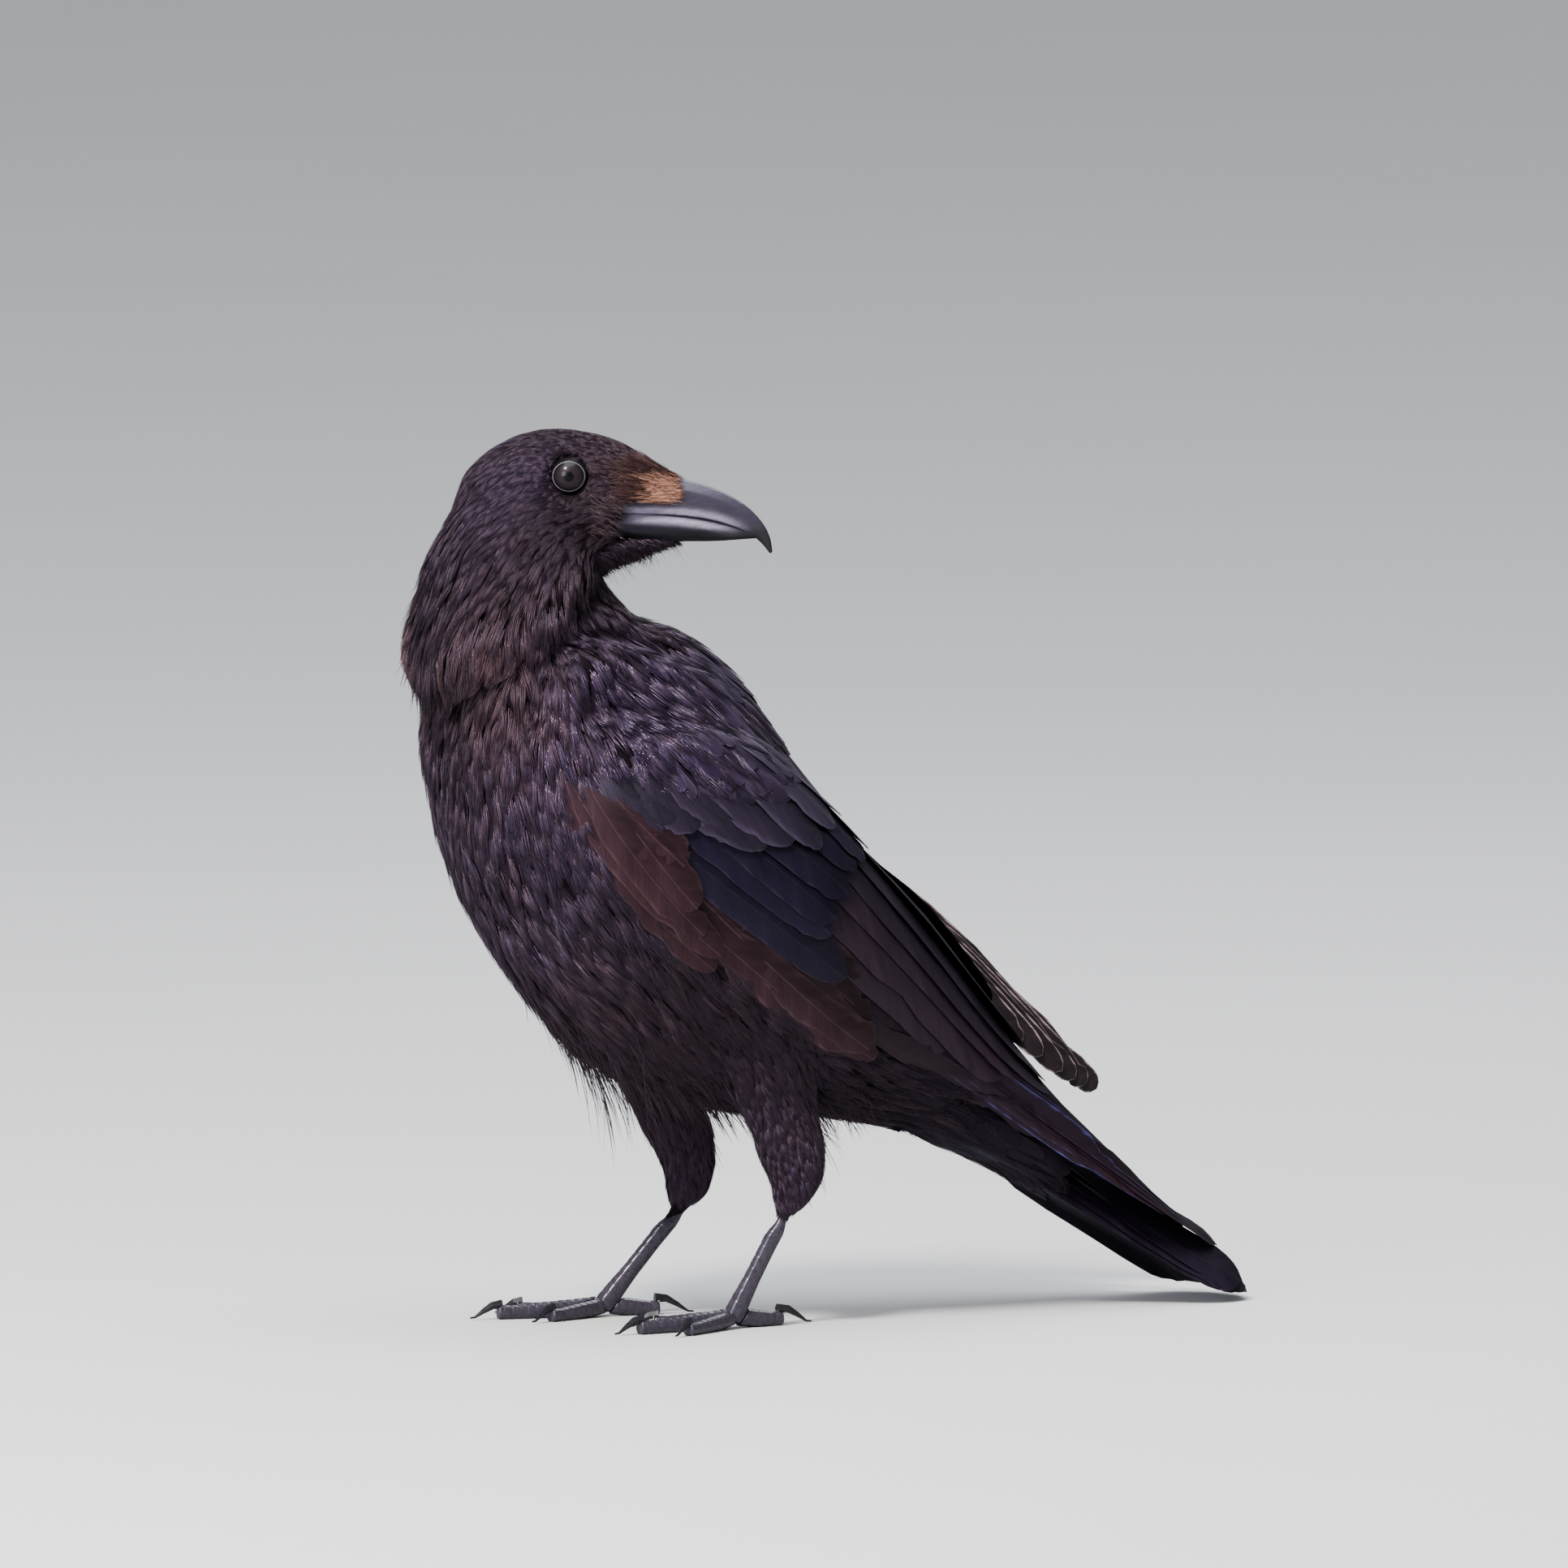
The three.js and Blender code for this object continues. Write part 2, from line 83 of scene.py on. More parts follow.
EYE_NEAR = middle("eye_right")
EYE_FAR = middle("eye_left")
ACROSS_HEAD = unit(EYE_FAR - EYE_NEAR)
ALONG_BILL = np.cross(ACROSS_HEAD, UPWARDS)

# The head's own zero lies one millimetre below the middle between both eyes.
HEAD_AT = (EYE_NEAR + EYE_FAR) / 2 - UPWARDS * MM
HEAD_IN_TABLE = np.array((-37.7, -4.5, 288.9)) * MM
ORIGIN = HEAD_AT - HEAD_IN_TABLE


def place(points):
    """Table millimetres to metres in the frame."""
    return np.asarray(points, float) * MM + ORIGIN


def head_steps(start, steps):
    """Goes from a start by steps along the bill, to the head's far side and up."""
    return start + steps[..., :1] * ALONG_BILL + steps[..., 1:2] * ACROSS_HEAD + steps[..., 2:] * UPWARDS


def head_place(points):
    """Head millimetres to metres in the frame."""
    return head_steps(HEAD_AT, np.asarray(points, float) * MM)


def along_and_across(points):
    """How far points lie along the bill and to the head's far side."""
    away = points - HEAD_AT
    return away @ ALONG_BILL, away @ ACROSS_HEAD


def eased(x):
    """A smooth step from 0 to 1."""
    x = np.clip(x, 0, 1)
    return x * x * (3 - 2 * x)


# ---- meshes ----

WELD_GAP = 0.005 * MM


def linked(name, data):
    """A new object in the scene."""
    obj = bpy.data.objects.new(name, data)
    bpy.context.scene.collection.objects.link(obj)
    return obj


def smooth_faces(mesh):
    mesh.polygons.foreach_set("use_smooth", np.ones(len(mesh.polygons), bool))


def mesh_from(name, form):
    """The mesh of a finished form, which is freed."""
    mesh = bpy.data.meshes.new(name)
    form.to_mesh(mesh)
    form.free()
    return mesh


def welded(*nodes):
    """One form welded from copies of CAD nodes."""
    form = bmesh.new()
    for node in nodes:
        form.from_mesh(NODES[node].data)
    bmesh.ops.remove_doubles(form, verts=form.verts, dist=WELD_GAP)
    return form


def solid_copy(name, *nodes):
    """One object welded from copies of CAD nodes."""
    return linked(name, mesh_from(name, welded(*nodes)))


def remeshed(obj, voxel, smoothing):
    """Replaces the object's mesh by its voxel shell, then relaxes it."""
    shell = obj.modifiers.new("shell", "REMESH")
    shell.mode = "VOXEL"
    shell.voxel_size = voxel
    mesh = bpy.data.meshes.new_from_object(obj.evaluated_get(bpy.context.evaluated_depsgraph_get()))
    obj.modifiers.clear()
    form = bmesh.new()
    form.from_mesh(mesh)
    for _ in range(smoothing):
        bmesh.ops.smooth_vert(form, verts=form.verts, factor=0.5, use_axis_x=True, use_axis_y=True,
                              use_axis_z=True)
    form.to_mesh(mesh)
    form.free()
    mesh.name = obj.name
    obj.data = mesh
    smooth_faces(mesh)
    return obj


def read(mesh, what="vertices", key="co", width=3):
    """Rows of numbers from a mesh: one row for each corner, face or map point."""
    data = getattr(mesh, what)
    values = np.empty(len(data) * width, np.float32)
    data.foreach_get(key, values)
    return values.reshape(-1, width).astype(float)


def move_to(obj, points):
    """Moves the corners of the object's mesh to the points."""
    obj.data.vertices.foreach_set("co", points.astype(np.float32).ravel())
    obj.data.update()
    return obj


def tree_of(*nodes):
    """A search tree over CAD nodes."""
    points, faces, start = [], [], 0
    for node in nodes:
        mesh = NODES[node].data
        points += [v.co.copy() for v in mesh.vertices]
        faces += [[start + i for i in p.vertices] for p in mesh.polygons]
        start += len(mesh.vertices)
    return BVHTree.FromPolygons(points, faces)


# Edges sharper than this stay sharp, in degrees.
RIM_ANGLE = 62


def repeat(name, corners, faces, vane_uv, patch_uv, tint, rim, sharp):
    """One mesh of many copies of a template: corners (copies, corners of one, 3)."""
    copies, size = corners.shape[:2]
    loops = np.concatenate([np.array(f) for f in faces])
    starts = np.cumsum([0] + [len(f) for f in faces])[:-1]
    all_loops = (loops[None] + size * np.arange(copies)[:, None]).ravel()
    all_starts = (starts[None] + len(loops) * np.arange(copies)[:, None]).ravel()
    mesh = bpy.data.meshes.new(name)
    mesh.vertices.add(copies * size)
    mesh.vertices.foreach_set("co", corners.astype(np.float32).ravel())
    mesh.loops.add(len(all_loops))
    mesh.polygons.add(len(all_starts))
    mesh.polygons.foreach_set("loop_start", all_starts.astype(np.int32))
    mesh.loops.foreach_set("vertex_index", all_loops.astype(np.int32))
    for title, uv in (("Vane", vane_uv), ("OFBake", patch_uv)):
        layer = mesh.uv_layers.new(name=title)
        layer.data.foreach_set("uv", uv.reshape(-1, 2)[all_loops].astype(np.float32).ravel())
    colour = mesh.attributes.new("tint", "FLOAT_COLOR", "POINT")
    colour.data.foreach_set("color", np.repeat(tint, size, axis=0).astype(np.float32).ravel())
    edge = mesh.attributes.new("rim", "FLOAT", "POINT")
    edge.data.foreach_set("value", np.tile(rim, copies).astype(np.float32))
    mesh.update(calc_edges=True)
    smooth_faces(mesh)
    if sharp:
        mesh.set_sharp_from_angle(angle=math.radians(RIM_ANGLE))
    return linked(name, mesh)


def lens_template(rings, top):
    """Faces of a closed thin vane. Each ring has `top` corners over the top and top-2 below, or only three
    in all for the smallest; the tip is one corner."""
    ring = 2 * top - 2 if top > 3 else 3
    faces = [tuple(range(ring))]
    for r in range(rings - 1):
        for c in range(ring):
            n = (c + 1) % ring
            faces.append((r * ring + c, (r + 1) * ring + c, (r + 1) * ring + n, r * ring + n))
    tip = rings * ring
    for c in range(ring):
        faces.append(((rings - 1) * ring + c, tip, (rings - 1) * ring + (c + 1) % ring))
    return faces


def at(values, t):
    """Linear reading of (copies, steps, n) at places t between 0 and 1."""
    steps = values.shape[1] - 1
    x = np.clip(np.asarray(t) * steps, 0, steps - 1e-9)
    low = x.astype(int)
    f = (x - low)[None, :, None]
    return values[:, low] * (1 - f) + values[:, low + 1] * f


# How far along a path its direction is read, the depth that no vane exceeds, the thickness from which a
# vane counts as a hair, how far each vane's own map may start along its length in centimetres, the most
# triangles of a piece, and the half size of a small vane's patch of the map.
LOOK_AHEAD = 0.04
THICKEST_VANE = 0.45 * MM
THINNEST_HAIR = 0.3
MAP_SHIFT = 7
PIECE_TRIANGLES = 190000
SMALL_PATCH = (0.0015, 0.0015)

# Places over the top of narrow and of broad small vanes.
NARROW = [-1, 0, 1]
BROAD = [-1, -0.5, 0, 0.5, 1]


def vanes(name, path, up, rings, half, lift, across, root_uv, tint, thick, camber, rib=0.0, tilt=0.0,
          web=0.0, mirror=1.0, patch_size=SMALL_PATCH):
    """Closed vanes along paths, in as many pieces as their triangles need.

    path, up: (copies, steps, 3). rings: places along the vane. half, lift: (copies, rings + 1) in metres.
    across: places over the top from -1 to 1. root_uv: where each copy finds its patch of the map.
    thick: depth as a share of the width. camber: how far the edges hang. rib: height of the shaft.
    tilt: rise of the right edge for each unit of width. web: how much wider the right half is.
    mirror: -1 turns the vane's own map round. Hairs are thick enough to be smoothed all round.
    """
    copies = len(path)
    t = np.append(rings, 1.0)
    centre = at(path, t)
    normal = unit(at(up, t))
    ahead = unit(at(path, np.clip(t + LOOK_AHEAD, 0, 1)) - at(path, np.clip(t - LOOK_AHEAD, 0, 1)))
    side = unit(np.cross(ahead, normal))
    normal = np.cross(side, ahead)
    centre = centre + normal * lift[..., None]
    tilt = np.broadcast_to(tilt, (copies,))[:, None, None]
    web = np.broadcast_to(web, (copies,))[:, None, None]
    under = list(across[1:-1][::-1]) if len(across) > 3 else []
    a = np.array(list(across) + under)
    below = np.array([0] * len(across) + [1] * len(under))
    width = half[:, :-1, None] * (1 + web * np.sign(a))
    thickness = np.minimum(2 * half[:, :-1, None] * thick, THICKEST_VANE) * (1 - np.abs(a) ** 2)
    rise = -camber * half[:, :-1, None] * a ** 2 + tilt * a * half[:, :-1, None]
    on_shaft = np.abs(a) < 0.02
    rise = rise + rib * on_shaft * (1 - below) - below * thickness
    ring_points = (centre[:, :-1, None] + side[:, :-1, None] * (width * a)[..., None]
                   + normal[:, :-1, None] * rise[..., None])
    corners = np.concatenate([ring_points.reshape(copies, -1, 3), centre[:, -1:]], axis=1)
    run = np.linalg.norm(np.diff(path, axis=1), axis=2).sum(1)
    along = np.repeat(t[:-1], len(a))
    offset = rng.random((copies, 1)) * MAP_SHIFT
    vane_u = np.concatenate([(width * a).reshape(copies, -1), np.zeros((copies, 1))], 1) * CM_PER_M * mirror
    vane_v = np.append(along, 1.0)[None] * run[:, None] * CM_PER_M + offset
    patch = np.stack([np.append(np.tile(a, len(rings)), 0), np.append(along, 1.0) * 2 - 1], -1) * patch_size
    vane_uv = np.stack([vane_u, vane_v], -1)
    patch_uv = root_uv[:, None] + patch[None]
    rim = np.append(np.tile(np.abs(a), len(rings)), 1.0)
    faces = lens_template(len(rings), len(across))
    triangles = sum(len(f) - 2 for f in faces)
    pieces = []
    parts = max(1, math.ceil(copies * triangles / PIECE_TRIANGLES))
    for n, chunk in enumerate(np.array_split(np.arange(copies), parts)):
        title = name if parts == 1 else f"{name}_{n + 1}"
        pieces.append(repeat(title, corners[chunk], faces, vane_uv[chunk], patch_uv[chunk], tint[chunk],
                             rim, thick < THINNEST_HAIR))
    return pieces


def tint_of(count, brown, gloss):
    """The tint of each copy: brown, gloss and a random light."""
    shares = [np.broadcast_to(share, (count,)) for share in (brown, gloss)]
    return np.stack([*shares, rng.random(count), np.ones(count)], -1)


# ---- the skin ----

FLESH = ["head", "neck", "trunk", "thigh_left", "thigh_right", "wing_left", "wing_right"]
SKIN_GRID = 1.7 * MM

# The skin ends in the tail, which is cut across at this place of the tables.
TAIL_ROOT_END = 158
TAIL_CUT = (1, 0, 0.4)

# Soft folds of the fluffed coat: points along the fold, its height and its half width.
FOLDS = {
    "shoulder_arch": ([(-59, -41, 205), (-56, -41, 216), (-46, -40, 226), (-32, -38, 230), (-16, -37, 226),
                       (-2, -33, 219)], 2.2, 4.0),
    "above_shoulder": ([(-68, -36, 208), (-65, -37, 223), (-52, -37, 236), (-34, -33, 240), (-16, -30, 237),
                        (0, -26, 229)], -4.6, 3.8),
    "shoulder_hollow": ([(-47, -45, 212), (-34, -45, 217), (-20, -45, 214)], -2.4, 4.0),
    "shoulder_roll": ([(-54, -47, 200), (-42, -50, 201), (-28, -51, 201), (-12, -48, 199)], 1.8, 4.5),
    "below_roll": ([(-52, -52, 189), (-38, -55, 191), (-22, -55, 191), (-8, -54, 190)], -1.8, 4.0),
    "back_ridge": ([(8, 0, 229), (34, 0, 202), (60, 0, 170), (85, 0, 140)], 2.4, 11.0),
    "nape_hollow": ([(-95, -6, 246), (-96, -6, 222)], -2.2, 11.0),
    "collar_edge": ([(-88, -18, 228), (-73, -33, 239), (-55.5, -34, 249), (-39, -24, 259.5)], 1.8, 5.0),
    "under_collar": ([(-92, -8, 206), (-84, -23, 217), (-69, -37, 228), (-53, -38, 238.5),
                      (-34.5, -25, 250)], -4.6, 4.4),
}

# Lumps of the coat: size and height. They are low on the head and grow to their full height below it.
LUMPS = ((24.0, 1.3), (13.0, 0.9))
LUMPS_FROM = 18 * MM
LUMPS_GROW = 14 * MM
LUMPS_ON_HEAD = 0.12


# ---- the lie of the coat ----
# place, direction, then length, width, stand (height of the tips), brown, gloss, and vane: 0 for hair-like
# feathers and 1 for rounded ones. Gloss is painted sheen: it lightens the feathers towards a glossy purple.
# Below 0 it darkens them as painted shade and above 1 it brightens them as a stronger painted highlight.

HEAD_TRACTS = {
    "forehead": ((-24, -17, 294), (-0.82, 0.48, 0.30), 4.8, 0.45, 0.27, 0.35, -0.1, 0),
    "crown_front": ((-30, -21, 296), (-0.80, 0.50, 0.20), 5.7, 0.5, 0.27, 0.05, -0.3, 0),
    "crown": ((-45, -10, 303), (-0.84, 0.49, -0.23), 6.9, 0.6, 0.3, 0.05, -0.1, 0),
    "crown_middle": ((-38, -4, 309), (-0.90, 0.42, -0.02), 6.9, 0.6, 0.3, 0.0, 0.1, 0),
    "back_of_head": ((-62, 1, 300), (-0.62, 0.40, -0.66), 9.8, 0.9, 0.48, 0.05, 0.6, 0),
    "nape_top": ((-69, 10, 284), (-0.36, 0.17, -0.90), 9.0, 1.5, 1.5, 0.05, 0.3, 0),
    "ear": ((-51, -19, 286), (-0.95, 0.26, -0.19), 9.8, 0.75, 0.36, 0.05, 1.4, 0),
    "ear_low": ((-66, -16, 280), (-0.75, 0.05, -0.66), 9.0, 1.3, 1.0, 0.05, 0.7, 0),
    "below_eye": ((-37, -23, 278), (-0.98, 0.02, -0.12), 6.0, 0.5, 0.27, 0.0, -2.0, 0),
    "lores": ((-26, -24, 281), (-0.97, 0.10, 0.21), 4.5, 0.4, 0.24, 0.9, -0.3, 0),
    "cheek": ((-30, -22, 271), (-0.99, -0.05, -0.14), 6.6, 0.5, 0.3, 0.0, -2.2, 0),
    "cheek_low": ((-49, -24, 270), (-0.87, -0.20, -0.44), 11.2, 1.0, 0.54, 0.05, -1.0, 0),
    "chin": ((-14, -18, 265), (-0.75, 0.20, -0.62), 6.8, 0.5, 0.66, 0.0, -0.6, 0),
    "throat": ((-24, -16, 261), (-0.60, 0.25, -0.74), 9.8, 0.9, 0.84, 0.0, -0.4, 0),
    "throat_low": ((-26, -8, 252), (-0.45, 0.10, -0.88), 9.0, 1.7, 1.8, 0.1, 0.0, 0),
    "neck_high": ((-75, -22, 269), (-0.54, 0.20, -0.82), 14.0, 2.6, 1.9, 0.1, 0.5, 0),
    "neck_back": ((-88, 3, 261), (-0.28, 0.17, -0.95), 16.0, 3.0, 3.0, 0.1, 0.3, 0),
    "neck_back_low": ((-90, -14, 248), (-0.22, 0.25, -0.94), 19.0, 3.6, 3.4, 0.15, 0.3, 0),
    "neck_side": ((-60, -31, 262), (-0.57, -0.05, -0.82), 13.0, 2.6, 1.8, 0.2, -0.1, 0),
    "neck_side_low": ((-70, -33, 247), (-0.42, 0.16, -0.89), 17.0, 3.6, 2.6, 0.25, -0.1, 0),
    "neck_right": ((-40, -24, 261), (-0.40, -0.30, -0.86), 12.0, 2.6, 2.0, 0.2, -0.1, 0),
    "neck_right_low": ((-46, -34, 247), (-0.28, -0.18, -0.94), 17.0, 3.6, 3.0, 0.2, 0.0, 0),
    "collar_left": ((-92, -9, 228), (0.02, 0.20, -0.98), 21.0, 4.2, 3.6, 0.05, -0.1, 0),
    "collar_middle": ((-80, -30, 226), (-0.16, 0.20, -0.96), 21.0, 4.2, 4.4, 0.05, -0.1, 0),
    "collar_right": ((-58, -41, 233), (-0.26, 0.00, -0.96), 19.0, 4.0, 4.4, 0.05, -0.1, 0),
}

BODY_TRACTS = {
    "breast_patch": ((-75, -33.5, 220), (-0.02, 0.12, -0.99), 15.0, 3.4, 1.5, 1.7, 2.4, 0),
    "breast_top": ((-82, -26, 209), (-0.02, 0.20, -0.98), 15.0, 3.4, 1.5, 0.1, -0.5, 0),
    "breast_front": ((-84, -14, 196), (0.06, 0.10, -0.99), 16.0, 3.8, 1.8, 0.1, 0.7, 0),
    "breast_side": ((-70, -37, 195), (0.04, 0.09, -0.99), 15.0, 3.8, 1.8, 0.15, 1.9, 0),
    "breast_low": ((-76, -23, 166), (0.30, 0.01, -0.95), 17.0, 4.2, 1.9, 0.1, 0.7, 0),
    "breast_low_side": ((-59, -40, 162), (0.46, 0.00, -0.88), 17.0, 4.2, 1.8, 0.05, 0.8, 0),
    "flank": ((-43, -49, 149), (0.62, 0.09, -0.77), 18.0, 4.4, 1.6, 0.05, 0.6, 0),
    "flank_low": ((-19, -51, 128), (0.75, 0.20, -0.64), 19.0, 4.4, 1.5, 0.1, 0.1, 0),
    "flank_rear": ((12, -46, 112), (0.80, 0.15, -0.58), 19.0, 4.4, 1.5, 0.15, 0.1, 0),
    "belly": ((-60, -20, 131), (0.58, 0.0, -0.81), 18.0, 3.6, 2.0, 0.1, 0.9, 0),
    "belly_low": ((-46, -24, 115), (0.78, -0.05, -0.62), 19.0, 3.2, 2.4, 0.3, 0.3, 0),
    "keel": ((-40, 0, 108), (0.85, 0.0, -0.50), 19.0, 3.2, 2.4, 0.2, 0.2, 0),
    "under": ((-5, 0, 84), (0.95, 0.0, -0.25), 16.0, 2.8, 2.2, 0.1, 0.0, 0),
    "vent": ((15, -42, 96), (0.74, 0.20, -0.64), 14.0, 2.6, 1.5, 0.15, 0.1, 0),
    "vent_rear": ((50, -23, 75), (0.88, 0.20, -0.40), 16.0, 2.8, 1.8, 0.1, 0.0, 0),
    "undertail": ((82, -16, 64), (0.94, -0.03, -0.34), 24.0, 7.0, 1.2, 0.05, -0.8, 0.8),
    "undertail_rear": ((118, -14, 48), (0.92, -0.02, -0.40), 30.0, 9.0, 1.0, 0.05, -0.8, 1),
    "uppertail": ((118, 0, 74), (0.86, 0.0, -0.50), 24.0, 9.0, 1.2, 0.0, 0.3, 1),
    "thigh_top": ((2, -40, 97), (0.58, 0.05, -0.81), 10.0, 1.6, 1.1, 0.2, 0.2, 0),
    "thigh": ((14, -38, 88), (0.42, 0.05, -0.90), 8.0, 1.3, 0.9, 0.1, 0.7, 0),
    "thigh_low": ((23, -36, 68), (0.26, 0.05, -0.96), 6.5, 1.1, 0.8, 0.2, 0.8, 0),
    "ankle": ((34, -29, 53), (0.22, 0.0, -0.97), 5.5, 0.9, 0.7, 0.1, 0.8, 0),
    "mantle_front": ((-29, -25, 245), (0.78, -0.02, -0.62), 14.0, 3.2, 1.4, 0.1, 0.6, 0),
    "mantle_middle": ((-22, 0, 244), (0.80, 0.0, -0.60), 15.0, 3.6, 1.4, 0.05, 0.5, 0),
    "mantle_side": ((-36, -33, 236), (0.46, -0.35, -0.80), 14.0, 3.6, 1.6, 0.1, 0.5, 0),
    "mantle": ((-10, -21, 234), (0.70, -0.22, -0.68), 20.0, 6.0, 1.3, 0.05, 0.7, 0.2),
    "mantle_low": ((5, -28, 221), (0.73, -0.05, -0.68), 24.0, 8.0, 1.8, 0.0, 0.6, 0.5),
    "back": ((10, 0, 226), (0.78, 0.0, -0.62), 23.0, 8.0, 2.6, 0.0, 0.4, 0.6),
    "back_low": ((50, 0, 180), (0.78, 0.0, -0.62), 26.0, 10.0, 2.6, 0.0, 0.4, 0.9),
    "rump": ((85, 0, 130), (0.80, 0.0, -0.60), 24.0, 7.0, 1.4, 0.0, 0.2, 0.5),
    "scapular": ((-20, -39, 223), (0.70, -0.32, -0.60), 19.0, 6.0, 1.5, 0.05, 1.4, 0.15),
    "scapular_low": ((-7, -46, 207), (0.56, -0.36, -0.74), 22.0, 8.5, 1.3, 0.0, 0.8, 0.4),
    "scapular_rear": ((28, -42, 192), (0.74, -0.10, -0.66), 27.0, 12.0, 1.1, 0.0, 0.6, 1),
    "shoulder_front": ((-58, -40, 214), (-0.12, -0.10, -0.98), 13.0, 3.6, 1.7, 0.1, 1.6, 0),
    "shoulder_ridge": ((-48, -42, 220), (0.30, -0.30, -0.88), 14.0, 4.0, 2.2, 0.0, 2.4, 0),
    "shoulder_crest": ((-42, -40, 228), (0.72, -0.36, -0.42), 13.0, 3.6, 2.2, 0.0, 2.4, 0),
    "shoulder_top": ((-30, -39, 226), (0.75, -0.38, -0.50), 15.0, 4.6, 2.2, 0.0, 2.2, 0),
    "shoulder": ((-54, -46, 199), (0.14, -0.30, -0.94), 15.0, 4.4, 2.0, 0.05, 1.7, 0),
    "shoulder_mid": ((-34, -48, 203), (0.52, -0.45, -0.72), 16.0, 6.0, 1.8, 0.0, 2.2, 0.15),
    "lesser_front": ((-47, -52, 190), (0.36, -0.16, -0.92), 15.0, 5.5, 1.3, 0.1, 0.8, 0.2),
    "lesser": ((-28, -58, 190), (0.60, -0.20, -0.77), 17.0, 8.5, 1.2, 0.0, 0.9, 0.45),
    "lesser_rear": ((2, -58, 190), (0.72, -0.10, -0.68), 20.0, 10.0, 1.1, 0.0, 0.8, 0.8),
}
HEAD_REACH, BODY_REACH = 9.0, 13.0


def mirrored(points, at_point, axis):
    """Points or ways on the other side of the plane through a point, square to an axis."""
    points = np.asarray(points, float)
    return points - 2 * ((points - at_point) @ axis)[..., None] * axis


class Lie:
    """The direction, size and tint of the coat at any point, blended from the tracts."""

    AT_ONCE = 4000

    def __init__(self):
        where, way, facts, reach = [], [], [], []
        for table, size, at_point, axis in (
            (HEAD_TRACTS, HEAD_REACH, HEAD_IN_TABLE / MM, ACROSS_HEAD),
            (BODY_TRACTS, BODY_REACH, np.zeros(3), np.array((0, 1.0, 0))),
        ):
            for p, d, *rest in table.values():
                for flip in (False, True):
                    where.append(mirrored(p, at_point, axis) if flip else np.array(p, float))
                    way.append(mirrored(d, np.zeros(3), axis) if flip else np.array(d, float))
                    facts.append(rest)
                    reach.append(size)
        self.where = place(where)
        self.way = unit(way)
        self.facts = np.array(facts, float)
        self.reach = np.array(reach) * MM

    def __call__(self, points):
        """Directions (n, 3) and facts (n, 6)."""
        ways, facts = [], []
        for chunk in np.array_split(points, max(1, len(points) // self.AT_ONCE)):
            gap = np.linalg.norm(chunk[:, None] - self.where[None], axis=2) / self.reach
            weight = np.exp(-0.5 * (gap ** 2 - gap.min(1, keepdims=True) ** 2))
            weight /= weight.sum(1, keepdims=True)
            ways.append(weight @ self.way)
            facts.append(weight @ self.facts)
        return np.concatenate(ways), np.concatenate(facts)


LENGTH, WIDTH, STAND, BROWN, GLOSS, VANE = range(6)
lie = Lie()


def from_eye(points):
    """Distance of each point from the line through both eyes, counted longer upwards so that equal
    distances make the oval of the lids, and its direction away from that line."""
    away = points - EYE_NEAR
    away = (away - (away @ ACROSS_HEAD)[:, None] * ACROSS_HEAD) / (1, 1, LID_OPENING)
    return np.linalg.norm(away, axis=1), unit(away)


def tail_root():
    """The thick first part of the tail, closed where it is cut."""
    form = welded("tail")
    bmesh.ops.bisect_plane(form, geom=form.verts[:] + form.edges[:] + form.faces[:],
                           plane_co=place((TAIL_ROOT_END, 0, 0)), plane_no=TAIL_CUT, clear_outer=True)
    bmesh.ops.holes_fill(form, edges=[e for e in form.edges if e.is_boundary])
    bmesh.ops.recalc_face_normals(form, faces=form.faces)
    return mesh_from("tail_root", form)


def flesh():
    """The flesh solids in one object, with the leg tops and the root of the tail."""
    form = welded(*FLESH, "tarsus_left", "tarsus_right")
    form.from_mesh(tail_root())
    return linked("skin", mesh_from("skin", form))


def from_line(points, line):
    """The shortest way to each point from a chain of straight lengths."""
    best = np.full(points.shape, np.inf)
    for a, b in zip(line[:-1], line[1:]):
        share = np.clip(((points - a) @ (b - a)) / ((b - a) @ (b - a)), 0, 1)
        way = points - a - share[:, None] * (b - a)
        nearer = np.linalg.norm(way, axis=1) < np.linalg.norm(best, axis=1)
        best[nearer] = way[nearer]
    return best


def relief(points):
    """Height of the folds and lumps of the coat at each point."""
    height = np.zeros(len(points))
    for line, rise, wide in FOLDS.values():
        for flip in (1, -1):
            way = from_line(points, place(np.array(line, float) * (1, flip, 1)))
            gap = np.linalg.norm(way, axis=1)
            height += rise * MM * np.exp(-0.5 * (gap / (wide * MM)) ** 2)
    body = np.clip((HEAD_AT[2] - LUMPS_FROM - points[:, 2]) / LUMPS_GROW, LUMPS_ON_HEAD, 1)
    for size, rise in LUMPS:
        lumps = np.array([noise.noise(Vector(p / (size * MM))) for p in points])
        height += lumps * rise * MM * body
    return height


# ---- the folded wing ----

# The body's middle line as (x, z), from the neck to the tail.
SPINE = [(-56, 232), (-50, 214), (-35, 189), (-13, 165), (14, 142), (42, 120), (70, 100), (98, 80),
         (127, 59), (165, 33), (203, 9)]
SPINE_STEP = 0.01


def on_spine(s):
    """The body's middle line and the direction to its back, for places s from 0 at the neck to 1 at the
    tail."""
    knots = np.array([(x, 0, z) for x, z in SPINE], float)
    last = len(knots) - 1

    def curve(at_s):
        x = np.clip(np.asarray(at_s, float), -0.05, 1.05) * last
        i = np.clip(np.floor(x).astype(int), 0, last - 1)
        u = (x - i)[..., None]
        a, b, c, d = (knots[np.clip(i + k, 0, last)] for k in (-1, 0, 1, 2))
        return b + 0.5 * u * (c - a + u * (2 * a - 5 * b + 4 * c - d + u * (3 * (b - c) + d - a)))

    ahead = unit(curve(np.asarray(s) + SPINE_STEP) - curve(np.asarray(s) - SPINE_STEP))
    back = np.stack([-ahead[..., 2], ahead[..., 1], ahead[..., 0]], -1)
    return place(curve(s)), back


